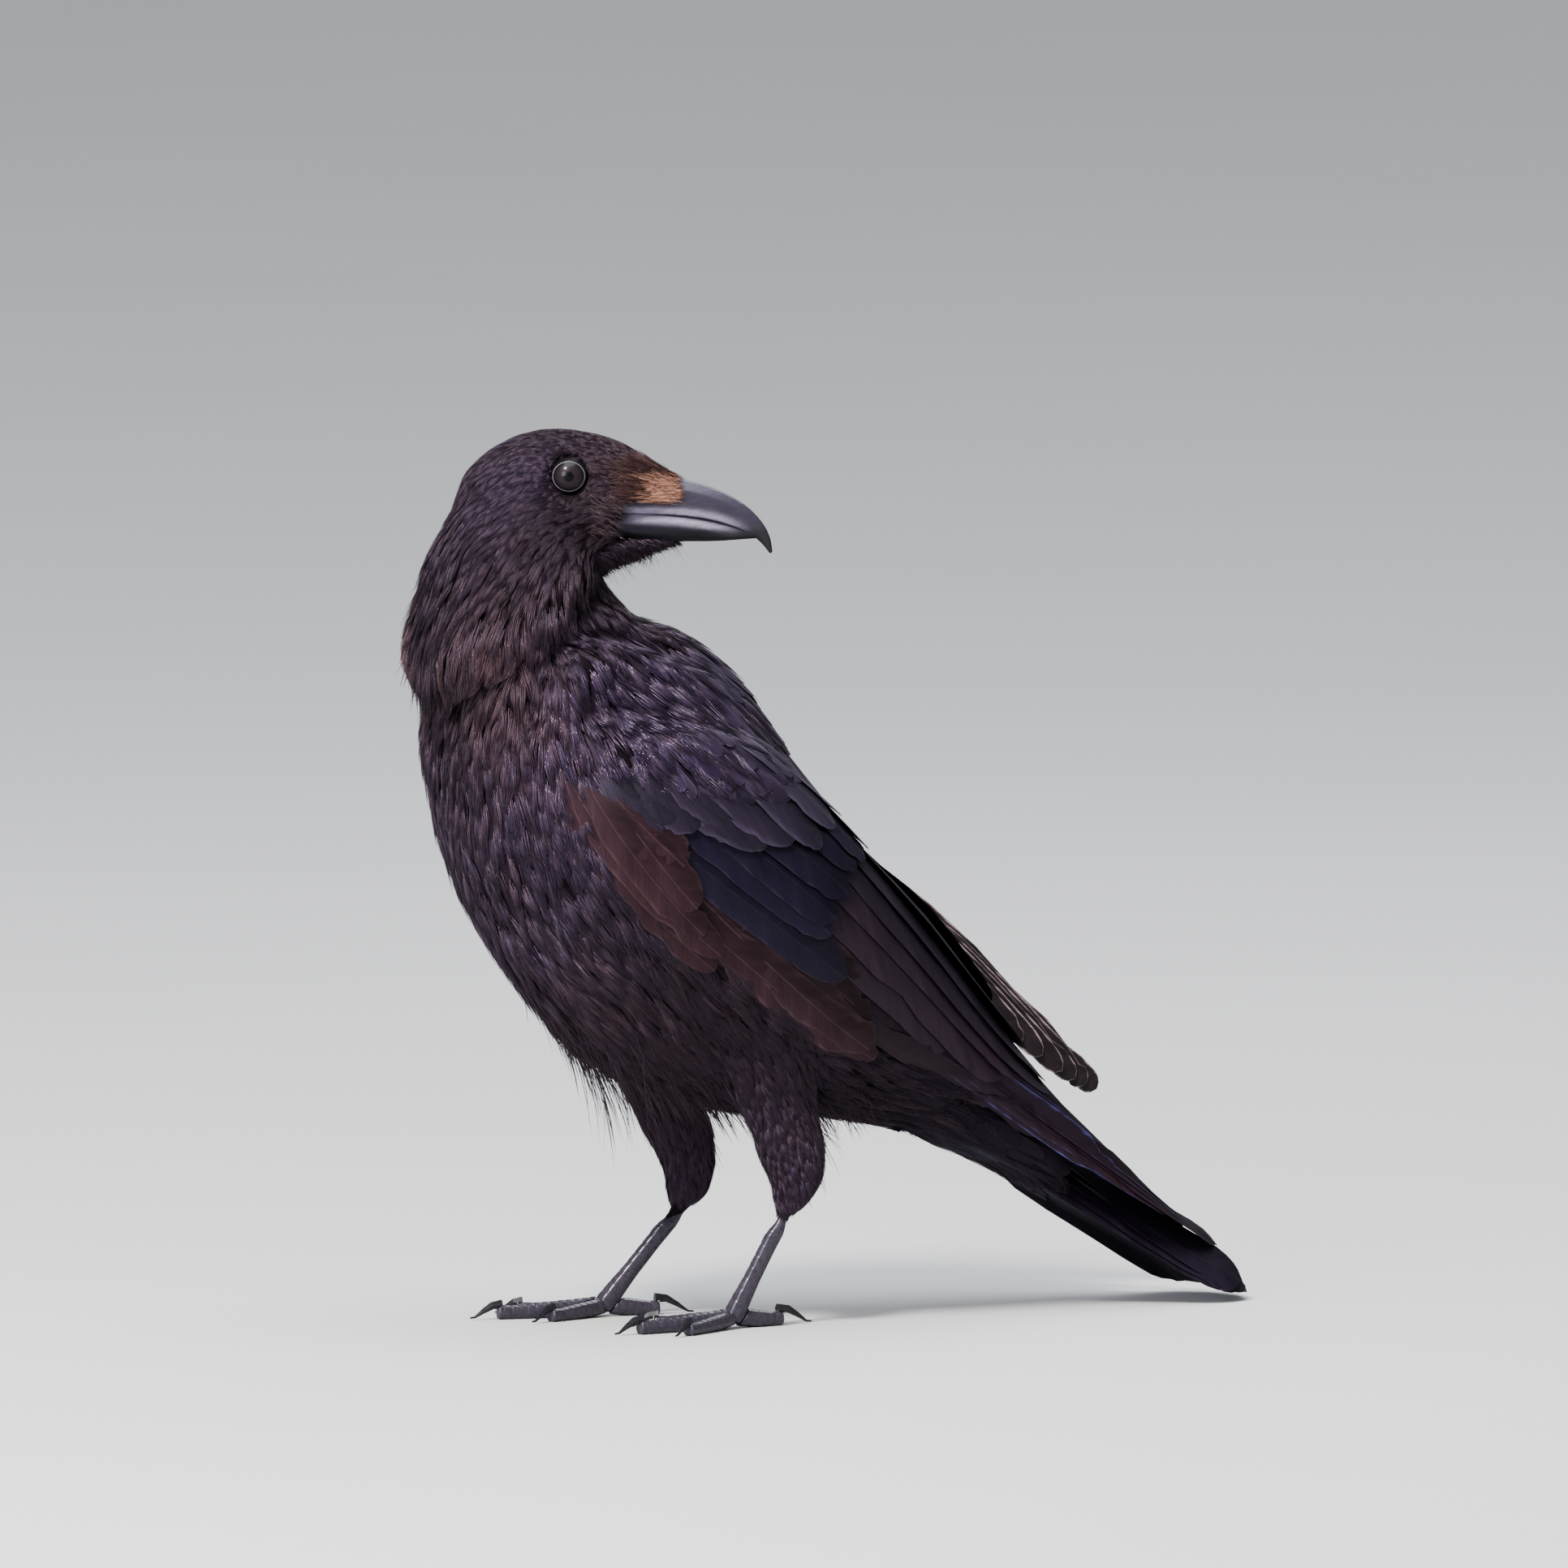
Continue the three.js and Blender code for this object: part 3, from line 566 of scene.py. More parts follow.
# Places along the spine and angles from the back's middle at which the wing is measured.
WING_S = np.linspace(0.10, 1.0, 61)
WING_A = np.linspace(0, 132, 45)
RAY_START = 0.2
LEAST_RADIUS = 3 * MM
RELAXINGS = 4


def wing_radii():
    """The folded wing's distance from the spine over places s and angles a from the back's middle."""
    tree = tree_of("wing_left", "primaries_left", "trunk")
    middle_line, back = on_spine(WING_S)
    radii = np.full((len(WING_S), len(WING_A)), np.nan)
    for i in range(len(WING_S)):
        for j, a in enumerate(np.radians(WING_A)):
            out = back[i] * math.cos(a) + np.array((0, -1, 0)) * math.sin(a)
            hit = tree.ray_cast(Vector(middle_line[i] + out * RAY_START), Vector(-out))[0]
            if hit is not None:
                radius = float((np.array(hit) - middle_line[i]) @ out)
                if radius > LEAST_RADIUS:
                    radii[i, j] = radius
    filled = [i for i in range(len(WING_S)) if np.isfinite(radii[i]).sum() > 3]
    for i in filled:
        known = np.isfinite(radii[i])
        radii[i] = np.interp(WING_A, WING_A[known], radii[i][known])
    for j in range(len(WING_A)):
        radii[:, j] = np.interp(WING_S, WING_S[filled], radii[filled, j])
    for _ in range(RELAXINGS):
        padded = np.pad(radii, 1, mode="edge")
        radii = (padded[:-2, 1:-1] + padded[2:, 1:-1] + padded[1:-1, :-2] + padded[1:-1, 2:]
                 + 2 * padded[1:-1, 1:-1]) / 6
    return radii


WING_RADII = wing_radii()


def on_wing(s, a, side):
    """Points of the folded wing. s, a: arrays. side -1 is the bird's left and 1 its right."""
    x = np.clip((s - WING_S[0]) / (WING_S[1] - WING_S[0]), 0, len(WING_S) - 1.001)
    y = np.clip((a - WING_A[0]) / (WING_A[1] - WING_A[0]), 0, len(WING_A) - 1.001)
    i, j = x.astype(int), y.astype(int)
    f, g = x - i, y - j
    radius = (WING_RADII[i, j] * (1 - f) * (1 - g) + WING_RADII[i + 1, j] * f * (1 - g)
              + WING_RADII[i, j + 1] * (1 - f) * g + WING_RADII[i + 1, j + 1] * f * g)
    line, back = on_spine(s)
    turn = np.radians(a)[..., None]
    out = back * np.cos(turn) + np.array((0, side, 0)) * np.sin(turn)
    return line + out * radius[..., None]


def wing_normal(s, a, side, s_step=0.012, a_step=3):
    """The way straight out of the folded wing."""
    along = on_wing(s + s_step, a, side) - on_wing(s - s_step, a, side)
    round_body = on_wing(s, a + a_step, side) - on_wing(s, a - a_step, side)
    return unit(np.cross(along, round_body)) * side


def spread(keys, count):
    """Rows read evenly through a short list of keys."""
    keys = np.array(keys, float).reshape(len(keys), -1)
    x = np.linspace(0, len(keys) - 1, count)
    return np.stack([np.interp(x, range(len(keys)), keys[:, c]) for c in range(keys.shape[1])], -1)


# Each row from the lowest feather up: count, roots and tips as (s, angle), widths, height of root and tip
# above the wing's own surface, brown, blue, the share of the width given to the inner web, how much of the
# length rounds off at the tip, and how unevenly the row is laid. On the primaries blue also sets how
# strongly their painted highlight line shows.
WING_ROWS = {
    "primary": (8, [(0.36, 110), (0.42, 74)],
                [(0.74, 93), (0.84, 83), (0.92, 75), (0.965, 67), (0.985, 59), (0.975, 51)],
                (10, 16), (-5.4, -3.2), (0.75, 0.30), (0.1, 0.1, 1.0, 0.3, 0.1, 0.2, 0.5, 0.2),
                0.30, 0.13, 0.6),
    "secondary": (4, [(0.30, 108), (0.33, 92)], [(0.588, 109), (0.565, 103), (0.520, 96)],
                  (17, 20), (-4.4, -3.2), (0.70, 0.50), (1.0, 1.0), 0.15, 0.22, 1.0),
    "tertial": (8, [(0.34, 82), (0.32, 54), (0.30, 18)],
                [(0.66, 79), (0.74, 68), (0.79, 57), (0.80, 45), (0.77, 32), (0.71, 18), (0.65, 5)],
                (21, 24), (-3.4, -2.4), (0.5, 0.05), (0.4, 0.8), 0.12, 0.12, 0.8),
    "greater_covert": (8, [(0.23, 97), (0.25, 66), (0.29, 22)],
                       [(0.495, 89), (0.445, 83), (0.45, 70), (0.46, 56), (0.47, 42), (0.48, 22)],
                       (16, 20), (-2.7, -1.5), (0.02, 0.02), (1.0, 0.9), 0.08, 0.22, 1.2),
    "primary_covert": (5, [(0.155, 114), (0.19, 99)],
                       [(0.395, 113), (0.365, 109), (0.335, 105), (0.295, 98)],
                       (13, 16), (-3.0, -1.6), (0.85, 0.75), (1.0, 1.0), 0.10, 0.24, 1.0),
    "median_covert": (10, [(0.165, 98), (0.22, 74), (0.34, 24)],
                      [(0.238, 95), (0.262, 88), (0.312, 80), (0.355, 71), (0.393, 61), (0.42, 46),
                       (0.44, 26)],
                      (17, 21), (-2.2, -0.8), (0.10, 0.05), (0.9, 0.7), 0.05, 0.46, 1.8),
}

# The lower edge of the folded wing as (s, angle), and the front of its long feathers as (angle, s).
WING_EDGE = [(0.14, 104), (0.18, 114), (0.27, 115), (0.395, 113), (0.588, 108), (0.70, 96), (0.795, 85),
             (0.93, 74)]
WING_FRONT = [(24, 0.38), (46, 0.36), (61, 0.33), (71, 0.29), (80, 0.245), (91, 0.20), (98, 0.18),
              (116, 0.18)]
ROW_STEPS = 12

# How unevenly roots and tips are laid, as (s, angle), and how far a row rises from its lowest feather to
# its highest.
ROOT_JITTER = (0.003, 0.8)
TIP_JITTER = (0.004, 0.8)
ROW_RISE = 0.9 * MM

# How far a row lifts over the flank, towards the rear and over the low back, where each lift starts and
# over how much it grows: angles over the flank, places s to the rear and both over the back. The right
# wing's inner feathers end beside the raised ones.
FLANK_LIFT, FLANK_FROM, FLANK_OVER = 2.0 * MM, 92, 18
REAR_LIFT, REAR_FROM, REAR_OVER = {-1: 1.8 * MM, 1: 3.0 * MM}, 0.28, 0.2
BACK_LIFT, BACK_FROM, BACK_OVER = 4.2 * MM, 0.46, 0.12
BACK_ANGLE, BACK_ANGLE_OVER = 48, 30
BESIDE_RAISED = 17


def rounded(t, shoulder=0.30, tip=0.16):
    """A vane's outline: it widens from the quill, runs even, and rounds off at the tip."""
    t = np.asarray(t)
    swell = np.clip(t / shoulder, 0, 1)
    swell = 0.18 + 0.82 * swell * (2 - swell)
    end = np.clip((t - 1 + tip) / tip, 0, 1)
    return swell * np.sqrt(np.clip(1 - end ** 2.2, 0, 1))


LONG_RINGS = np.array([0, 0.07, 0.16, 0.27, 0.38, 0.49, 0.59, 0.68, 0.76, 0.83, 0.88, 0.92, 0.95, 0.972,
                       0.989])
LONG_OUTLINE = np.append(LONG_RINGS, 1.0)
LONG_ACROSS = [-1, -0.62, -0.10, 0, 0.10, 0.62, 1]


def ragged(copies, wear):
    """A long feather's width with a fine unevenness and some nicks, deeper where it has more wear."""
    nick = rng.random((copies, len(LONG_OUTLINE)))
    return 1 - (0.05 * rng.random(nick.shape) + np.where(nick > 0.82, 0.22, 0.0)) * wear


def islands(count):
    """One tall strip of the map for each long feather: the middles and the half size."""
    return np.stack([(np.arange(count) + 0.5) / count, np.full(count, 0.5)], -1), (0.46 / count, 0.48)


def long_vanes(name, path, up, half, lift, tint, thick, camber, rib, **settings):
    """Long feathers, each with its own tall strip of the map."""
    strips, strip_size = islands(len(path))
    return vanes(name, path, up, LONG_RINGS, half, lift, LONG_ACROSS, strips, tint, thick, camber, rib,
                 patch_size=strip_size, **settings)


def wing_row(name, side):
    """One row of long feathers laid over one folded wing."""
    count, roots, tips, widths, heights, browns, blues, web, end, uneven = WING_ROWS[name]
    root, tip = spread(roots, count), spread(tips, count)
    root += rng.normal(0, 1, root.shape) * ROOT_JITTER * uneven
    tip += rng.normal(0, 1, tip.shape) * TIP_JITTER * uneven
    if side > 0 and name == "tertial":
        tip[:, 1] = np.maximum(tip[:, 1], BESIDE_RAISED)
    t = np.linspace(0, 1, ROW_STEPS)
    sweep = root[:, None] + (tip - root)[:, None] * t[None, :, None]
    s, a = sweep[..., 0], sweep[..., 1]
    path, up = on_wing(s, a, side), wing_normal(s, a, side)
    share = np.linspace(0, 1, count)
    width = np.interp(share, (0, 1), widths) / 2 * MM * rng.uniform(0.9, 1.08, count)
    brown = np.interp(share, (0, 1), browns)
    half = width[:, None] * rounded(LONG_OUTLINE, 0.30, end) * ragged(count, 0.5 + brown[:, None])
    layer = (share * ROW_RISE)[:, None]
    s_of, a_of = (root[:, k:k + 1] + (tip - root)[:, k:k + 1] * LONG_OUTLINE[None] for k in (0, 1))
    over_flank = FLANK_LIFT * eased((a_of - FLANK_FROM) / FLANK_OVER)
    to_rear = REAR_LIFT[side] * eased((s_of - REAR_FROM) / REAR_OVER)
    over_back = BACK_LIFT * eased((s_of - BACK_FROM) / BACK_OVER)
    over_back = over_back * eased((BACK_ANGLE - a_of) / BACK_ANGLE_OVER)
    lift = (heights[0] + (heights[1] - heights[0]) * LONG_OUTLINE[None] ** 0.8) * MM
    lift = lift + layer + over_flank + to_rear + over_back
    blue = np.interp(share, np.linspace(0, 1, len(blues)), blues)
    return long_vanes(f"{name}_{SIDE_NAMES[side]}", path, up, half, lift, tint_of(count, brown, blue),
                      thick=0.04, camber=0.10, rib=0.12 * MM, tilt=-0.06 * side, web=web * side,
                      mirror=-side)


wing_pieces = {}
for side in SIDE_NAMES:
    for row in WING_ROWS:
        wing_pieces[row, side] = wing_row(row, side)

# The raised inner feathers of the right wing, one on another: the line they follow, the way their faces
# look, half their width, how much shorter each one is than the next, how far it sits below it and how far
# in front of it, and which one lies on the line itself.
RAISED_LINE = [(40, 31, 168), (60, 31, 161), (80, 28, 152.5), (100, 27, 138.5), (124, 27, 117),
               (146, 26, 94.5), (163, 24, 75.5), (171, 23, 66.5)]
RAISED_COUNT = 6
RAISED_FACE = np.array((-0.10, -0.85, 0.30))
RAISED_HALF = 4.7 * MM
RAISED_SHORTER = 0.052
RAISED_RISE = 2.2 * MM
RAISED_BEHIND = 1.0 * MM
RAISED_ON_LINE = 2.2


def raised_tertials():
    """Feathers stacked face to face. Each one further from the back's middle shows its edge and reaches
    further."""
    line = place(RAISED_LINE)
    paths, ups = [], []
    for i in range(RAISED_COUNT):
        reach_share = 1 - RAISED_SHORTER * (RAISED_COUNT - 1 - i)
        t = np.linspace(0, reach_share, ROW_STEPS) * (len(line) - 1)
        points = np.stack([np.interp(t, range(len(line)), line[:, c]) for c in range(3)], -1)
        ahead = unit(np.gradient(points, axis=0))
        face = unit(RAISED_FACE - (ahead @ RAISED_FACE)[:, None] * ahead)
        across = np.cross(ahead, face)
        across *= np.sign(across[:, 2:])
        fan = np.linspace(0.3, 1.0, ROW_STEPS)[:, None]
        points = points + across * ((i - RAISED_ON_LINE) * RAISED_RISE) * fan
        points = points - face * (i * RAISED_BEHIND)
        paths.append(points)
        ups.append(face)
    half = RAISED_HALF * rounded(LONG_OUTLINE, 0.35, 0.07)[None] * ragged(RAISED_COUNT, 1.2)
    tint = tint_of(RAISED_COUNT, 0.15 + 0.09 * np.arange(RAISED_COUNT), 1.0)
    return long_vanes("raised_tertials_right", np.array(paths), np.array(ups), half, half * 0, tint,
                      thick=0.05, camber=0.14, rib=0.12 * MM)


# Tail feathers from the lowest up: place across from -1 to 1, depth from the top 0 to the bottom 1, roll,
# half width. The outer ones turn down round the sides, and the first three close the underside.
TAIL_FEATHERS = [(0.0, 1.0, 0.0, 13.0), (-0.45, 0.97, -0.15, 12.0), (0.45, 0.97, 0.15, 12.0),
                 (-1.0, 0.62, -1.5, 9.0), (1.0, 0.62, 1.5, 9.0), (-0.86, 0.40, -0.9, 10.5),
                 (0.86, 0.40, 0.9, 10.5), (-0.66, 0.24, -0.5, 11.5), (0.66, 0.24, 0.5, 11.5),
                 (-0.42, 0.12, -0.25, 12.0), (0.42, 0.12, 0.25, 12.0), (-0.16, 0.04, -0.1, 12.0),
                 (0.16, 0.0, 0.05, 12.0)]

# The tail feathers start and end inside the tail solid, the outer ones further from its tip. They spread
# from their roots to the tips and lie below the solid's top. The pile is thin at the root, opens to the
# solid's whole depth from TAIL_OPENS on and thins again towards the tip.
TAIL_START, TAIL_END, TAIL_OUTER = 4 * MM, 2 * MM, 9 * MM
TAIL_ROOT_SPREAD, TAIL_SIDE_GAP = 8 * MM, 5 * MM
TAIL_BELOW_TOP, TAIL_VANE_DEPTH = 0.8 * MM, 2.2 * MM
TAIL_OPENS, TAIL_OPENS_OVER, TAIL_THIN = 110, 40 * MM, 5.0 * MM
TAIL_TIP_LENGTH, TAIL_TIP_SHARE = 95 * MM, 0.45
TAIL_UP = (0.45, 0.86)


def tail_feathers():
    """The tail's feathers, each at its own depth between the top and the underside of the tail solid."""
    low, high = (np.array(c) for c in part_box("tail"))
    tree = tree_of("tail")
    paths, ups, widths = [], [], []
    for fan, deep, roll, half_width in TAIL_FEATHERS:
        end = high[0] - (TAIL_END + TAIL_OUTER * fan * fan)
        x = np.linspace(low[0] + TAIL_START, end, ROW_STEPS)
        spread_at = np.interp(x, (low[0], high[0]),
                              (TAIL_ROOT_SPREAD, (high[1] - low[1]) / 2 - TAIL_SIDE_GAP))
        y = fan * spread_at + (low[1] + high[1]) / 2
        points = []
        for px, py in zip(x, y):
            top = tree.ray_cast(Vector((px, py * 0.8, 1)), Vector((0, 0, -1)))[0]
            under = tree.ray_cast(Vector((px, py * 0.8, -1)), Vector((0, 0, 1)))[0]
            if top is None or under is None:
                top = under = Vector(points[-1]) if points else Vector((px, py, high[2]))
            full = eased((px - place((TAIL_OPENS, 0, 0))[0]) / TAIL_OPENS_OVER)
            to_tip = np.interp(px, (high[0] - TAIL_TIP_LENGTH, high[0]), (1, TAIL_TIP_SHARE))
            whole = (top.z - under.z - TAIL_VANE_DEPTH) * to_tip
            thickness = min(whole, TAIL_THIN) * (1 - full) + whole * full
            points.append((px, py, top.z - TAIL_BELOW_TOP - thickness * deep))
        paths.append(points)
        ups.append(np.tile((TAIL_UP[0], roll, TAIL_UP[1]), (ROW_STEPS, 1)))
        widths.append(half_width * MM)
    count = len(TAIL_FEATHERS)
    tint = tint_of(count, 0.12, 0.7)
    half = np.array(widths)[:, None] * rounded(LONG_OUTLINE, 0.5, 0.10)[None] * ragged(count, 0.4)
    return long_vanes("tail_feathers", np.array(paths), unit(np.array(ups)), half, half * 0, tint,
                      thick=0.04, camber=0.10, rib=0.15 * MM)


raised_pieces = raised_tertials()
tail_pieces = tail_feathers()


# ---- the skin's own shape ----

def wing_place(points):
    """s and angle of points near the body."""
    s_list = np.linspace(0, 1, 201)
    line, back = on_spine(s_list)
    gap = np.hypot(points[:, None, 0] - line[None, :, 0], points[:, None, 2] - line[None, :, 2])
    k = gap.argmin(1)
    r = points - line[k]
    a = np.degrees(np.arctan2(np.abs(r[:, 1]), (r * back[k]).sum(1)))
    return s_list[k], a


# The long feathers cover the skin above the wing's lower edge, behind its front and away from the back's
# middle, and behind COVERED_FROM they reach closer to the back's middle. The cover grows to its full share
# over EDGE_OVER, BACK_OVER_A and FRONT_OVER.
COVERED_FROM = 0.45
BESIDE_BACK, CLOSE_TO_BACK = 20, 6
EDGE_OVER, BACK_OVER_A, FRONT_OVER = 7, 8, 0.03


def under_wing(points):
    """How far points lie under the long feathers of the folded wing, from 0 at its edges to 1."""
    s, a = wing_place(points)
    edge = np.interp(s, *np.array(WING_EDGE).T)
    front = np.interp(a, *np.array(WING_FRONT).T)

    def grows(value, start, over):
        return np.clip((value - start) / over, 0, 1)

    beside = grows(a, BESIDE_BACK, BACK_OVER_A) * grows(s, front, FRONT_OVER)
    behind = grows(a, CLOSE_TO_BACK, BACK_OVER_A) * grows(s, COVERED_FROM, FRONT_OVER)
    return np.clip((edge - a) / EDGE_OVER, 0, 1) * np.maximum(beside, behind)


# The skin lies below the solids by a share of the coat's stand. Under the folded wing it lies up to
# UNDER_WING deeper, or less where the body is slender: SLENDER_SHARE of the way to its middle plane and
# ALWAYS_DEEPER. FROM_SPINE mixes the way of the skin's own normal into that way.
SKIN_RELAXINGS = 8
STAND_SHARE = 0.9
LEAST_DEPTH = 0.2 * MM
UNDER_WING = 6.5 * MM
FROM_SPINE = 20
SLENDER_SHARE, ALWAYS_DEEPER = 0.30, 2 * MM

# Heights out from the middle of an eye: the socket's rim at the lids, how far its bowl lies behind the
# eyeball, and how far behind the eye's middle the skin is still moved.
SOCKET_RIM = 2.4 * MM
BEHIND_BALL = 1.4 * MM
BEHIND_EYE = 2 * MM


def below_coat(points, normals):
    """Sinks the skin by the depth of the coat, raised by its folds, and further under the folded wing."""
    depth = lie(points)[1][:, STAND] * MM * STAND_SHARE + LEAST_DEPTH - relief(points)
    depth = np.maximum(depth, LEAST_DEPTH)
    points = points - normals * depth[:, None]
    inwards = points * (0, 1, 0) + (normals * (1, 0, 1)) * FROM_SPINE * MM
    room = SLENDER_SHARE * np.linalg.norm(inwards, axis=1, keepdims=True) + ALWAYS_DEEPER
    inwards = unit(inwards) * np.minimum(UNDER_WING, room)
    return points - inwards * eased(under_wing(points))[:, None]


def with_sockets(points):
    """Lowers the skin round each eye to a rim at the lids, and to a bowl behind the eyeball."""
    reach, around = from_eye(points)
    oval_share = np.linalg.norm(around * (1, 1, LID_OPENING), axis=1)
    raised = np.sqrt(EYE_RADIUS ** 2 - (LID_RADIUS * oval_share) ** 2)
    rim = SOCKET_RIM + (raised - math.sqrt(EYE_RADIUS ** 2 - LID_RADIUS ** 2))
    bowl = np.sqrt(np.clip(EYE_RADIUS ** 2 - (reach * oval_share) ** 2, 0, None)) - BEHIND_BALL
    target = np.where(reach < LID_RADIUS, np.minimum(bowl, rim), rim)
    blend = eased((reach - LID_RADIUS) / (SOCKET_EDGE - LID_RADIUS))
    for eye_at, outward in ((EYE_NEAR, -ACROSS_HEAD), (EYE_FAR, ACROSS_HEAD)):
        height = (points - eye_at) @ outward
        near = (reach < SOCKET_EDGE) & (height > -BEHIND_EYE)
        new = np.minimum(height, target * (1 - blend) + height * blend)
        points = points + np.where(near, new - height, 0)[:, None] * outward
    return points


skin = remeshed(flesh(), SKIN_GRID, SKIN_RELAXINGS)
sunk = below_coat(read(skin.data), read(skin.data, "vertices", "normal"))
move_to(skin, with_sockets(sunk))


UNWRAP_ANGLE = 66
ISLAND_GAP = 0.002


def unwrap(obj):
    """An unwrap of the piece's own shape, in the map named OFBake."""
    obj.data.uv_layers.new(name="OFBake")
    bpy.context.view_layer.objects.active = obj
    obj.select_set(True)
    bpy.ops.object.mode_set(mode="EDIT")
    bpy.ops.mesh.select_all(action="SELECT")
    bpy.ops.uv.smart_project(angle_limit=math.radians(UNWRAP_ANGLE), island_margin=ISLAND_GAP)
    bpy.ops.object.mode_set(mode="OBJECT")
    obj.select_set(False)


unwrap(skin)
skin.data.calc_loop_triangles()
triangle_corners = read(skin.data, "loop_triangles", "vertices").astype(int)
triangle_loops = read(skin.data, "loop_triangles", "loops").astype(int)
skin_points = read(skin.data)
skin_normals = read(skin.data, "vertices", "normal")
skin_uv = read(skin.data.uv_layers["OFBake"], "data", "uv", 2)
skin_tree = BVHTree.FromPolygons([Vector(p) for p in skin_points], triangle_corners.tolist())
triangle_normals = unit(skin_normals[triangle_corners].sum(1))
triangle_middle = skin_points[triangle_corners].mean(1)
edge_a = skin_points[triangle_corners[:, 1]] - skin_points[triangle_corners[:, 0]]
edge_b = skin_points[triangle_corners[:, 2]] - skin_points[triangle_corners[:, 0]]
triangle_area = np.linalg.norm(np.cross(edge_a, edge_b), axis=1) / 2


# ---- small feathers over the skin ----

def scatter(density, share):
    """Seeded roots on the skin: expected count for each triangle is area times density times share."""
    expected = triangle_area * density * share
    count = np.floor(expected + rng.random(len(expected))).astype(int)
    chosen = np.repeat(np.arange(len(expected)), count)
    u, v = rng.random(len(chosen)), rng.random(len(chosen))
    over = u + v > 1
    u[over], v[over] = 1 - u[over], 1 - v[over]
    weights = np.stack([1 - u - v, u, v], -1)[..., None]
    points = (skin_points[triangle_corners[chosen]] * weights).sum(1)
    normals = unit((skin_normals[triangle_corners[chosen]] * weights).sum(1))
    uv = (skin_uv[triangle_loops[chosen]] * weights).sum(1)
    return points, normals, uv


def spaced(points, gap):
    """Indices of points kept so that no two lie nearer than their gap."""
    kept = []
    taken = np.zeros((0, 3))
    for i in rng.permutation(len(points)):
        if (np.linalg.norm(taken - points[i], axis=1) < gap[i]).any():
            continue
        kept.append(i)
        taken = np.vstack([taken, points[i]])
    return np.array(kept)


def uv_of(triangles):
    """The skin's map at the middles of triangles."""
    return skin_uv[triangle_loops[triangles]].mean(1)


# How strongly the coat turns away from an eye, how far from it, and how alike two normals have to be for a
# path to stay on the skin.
EYE_TURN = 1.6
EYE_TURN_REACH = 8.5 * MM
STEEPEST_TURN = 0.45


def march(roots, normals, length, yaw, steps):
    """Follows the lie of the coat over the skin from each root, and turns away from the eye. A path that
    comes to a sharp edge of the skin runs straight on."""
    points, ups = [roots], [normals]
    here, up = roots, normals
    for _ in range(steps):
        way, _ = lie(here)
        distance, away = from_eye(here)
        way = way + away * (EYE_TURN * np.exp(-(distance / EYE_TURN_REACH) ** 4))[:, None]
        way = unit(way - (way * up).sum(1)[:, None] * up)
        turned = unit(way * np.cos(yaw)[:, None] + np.cross(up, way) * np.sin(yaw)[:, None])
        ahead = here + turned * (length / steps)[:, None]
        found = [skin_tree.find_nearest(Vector(p)) for p in ahead]
        new_up = triangle_normals[[f[2] for f in found]]
        runs_off = (new_up * up).sum(1)[:, None] < STEEPEST_TURN
        here = np.where(runs_off, ahead, np.array([f[0] for f in found]))
        up = unit(np.where(runs_off, up, 0.4 * up + new_up))
        points.append(here)
        ups.append(up)
    return np.stack(points, 1), np.stack(ups, 1)


# The size of light and dark blotches, how uneven brown and gloss are, and how much painted shade darkens
# the coat's hollows and painted highlight lightens its folds for each millimetre.
BLOTCH = 17 * MM
BROWN_UNEVEN, GLOSS_UNEVEN = 0.10, 0.15
GLOSS_ENDS = (-2.5, 2.5)
HOLLOW_PAINTED_SHADE, FOLD_PAINTED_HIGHLIGHT = 0.45, 0.36


def tints(facts, points):
    """Brown, gloss and light. The light holds a random tone and blotches, painted sheen from the gloss,
    painted shade in the coat's hollows and a painted highlight on its folds.
    """
    n = len(facts)
    brown = np.clip(facts[:, BROWN] + rng.normal(0, BROWN_UNEVEN, n), 0, 1)
    gloss = np.clip(facts[:, GLOSS] + rng.normal(0, GLOSS_UNEVEN, n), *GLOSS_ENDS)
    height = relief(points) / MM
    blotch = np.array([noise.noise(Vector(p / BLOTCH)) for p in points])
    # The gloss paints sheen into the light. Below, the hollows get painted shade and the folds a painted
    # highlight.
    light = 0.8 * rng.random(n) + 0.9 * blotch + 0.9 * (gloss - 0.45)
    light += HOLLOW_PAINTED_SHADE * np.minimum(height, 0) + FOLD_PAINTED_HIGHLIGHT * np.maximum(height, 0)
    return np.stack([brown, gloss, light, np.ones(n)], -1)


# In the crease below the collar only a share of the feathers grows.
CREASE_REACH = 4 * MM
CREASE_SHARE = 0.25
CREASE_LINE = np.array(FOLDS["under_collar"][0], float)


def at_collar(points):
    """The distance to the collar's crease, and how far each point lies above it."""
    ways = np.stack([from_line(points, place(CREASE_LINE * (1, flip, 1))) for flip in (1, -1)])
    gaps = np.linalg.norm(ways, axis=2)
    nearest = gaps.argmin(0)
    each = np.arange(len(points))
    return gaps[nearest, each], ways[nearest, each, 2]


# No small feathers grow under the wing, inside the lids, below the ankles, on top of the tail or at its
# end.
ANKLE = 40 * MM
LID_CLEARANCE = 0.14 * MM
COVERED_ENOUGH = 0.35
TAIL_TOP_FROM = 104
BARE_TAIL_END = 30
skin_facts = lie(triangle_middle)[1]
covered = under_wing(triangle_middle) > COVERED_ENOUGH
inside_lids = from_eye(triangle_middle)[0] < LID_RADIUS + LID_CLEARANCE
below_ankle = triangle_middle[:, 2] < ANKLE
looks_up = triangle_normals[:, 2] > -0.1
on_tail_top = (triangle_middle[:, 0] > place((TAIL_TOP_FROM, 0, 0))[0]) & looks_up
tail_end = triangle_middle[:, 0] > place((TAIL_ROOT_END - BARE_TAIL_END, 0, 0))[0]
bare = covered | inside_lids | below_ankle | on_tail_top | tail_end
crease_gap, crease_height = at_collar(triangle_middle)
in_crease = (crease_height < 0) & (crease_gap < CREASE_REACH)
open_skin = np.where(bare, 0.0, np.where(in_crease, CREASE_SHARE, 1.0))
vane_share = np.clip(skin_facts[:, VANE] * 1.6 - 0.3, 0, 1)
hair_share = 1 - vane_share


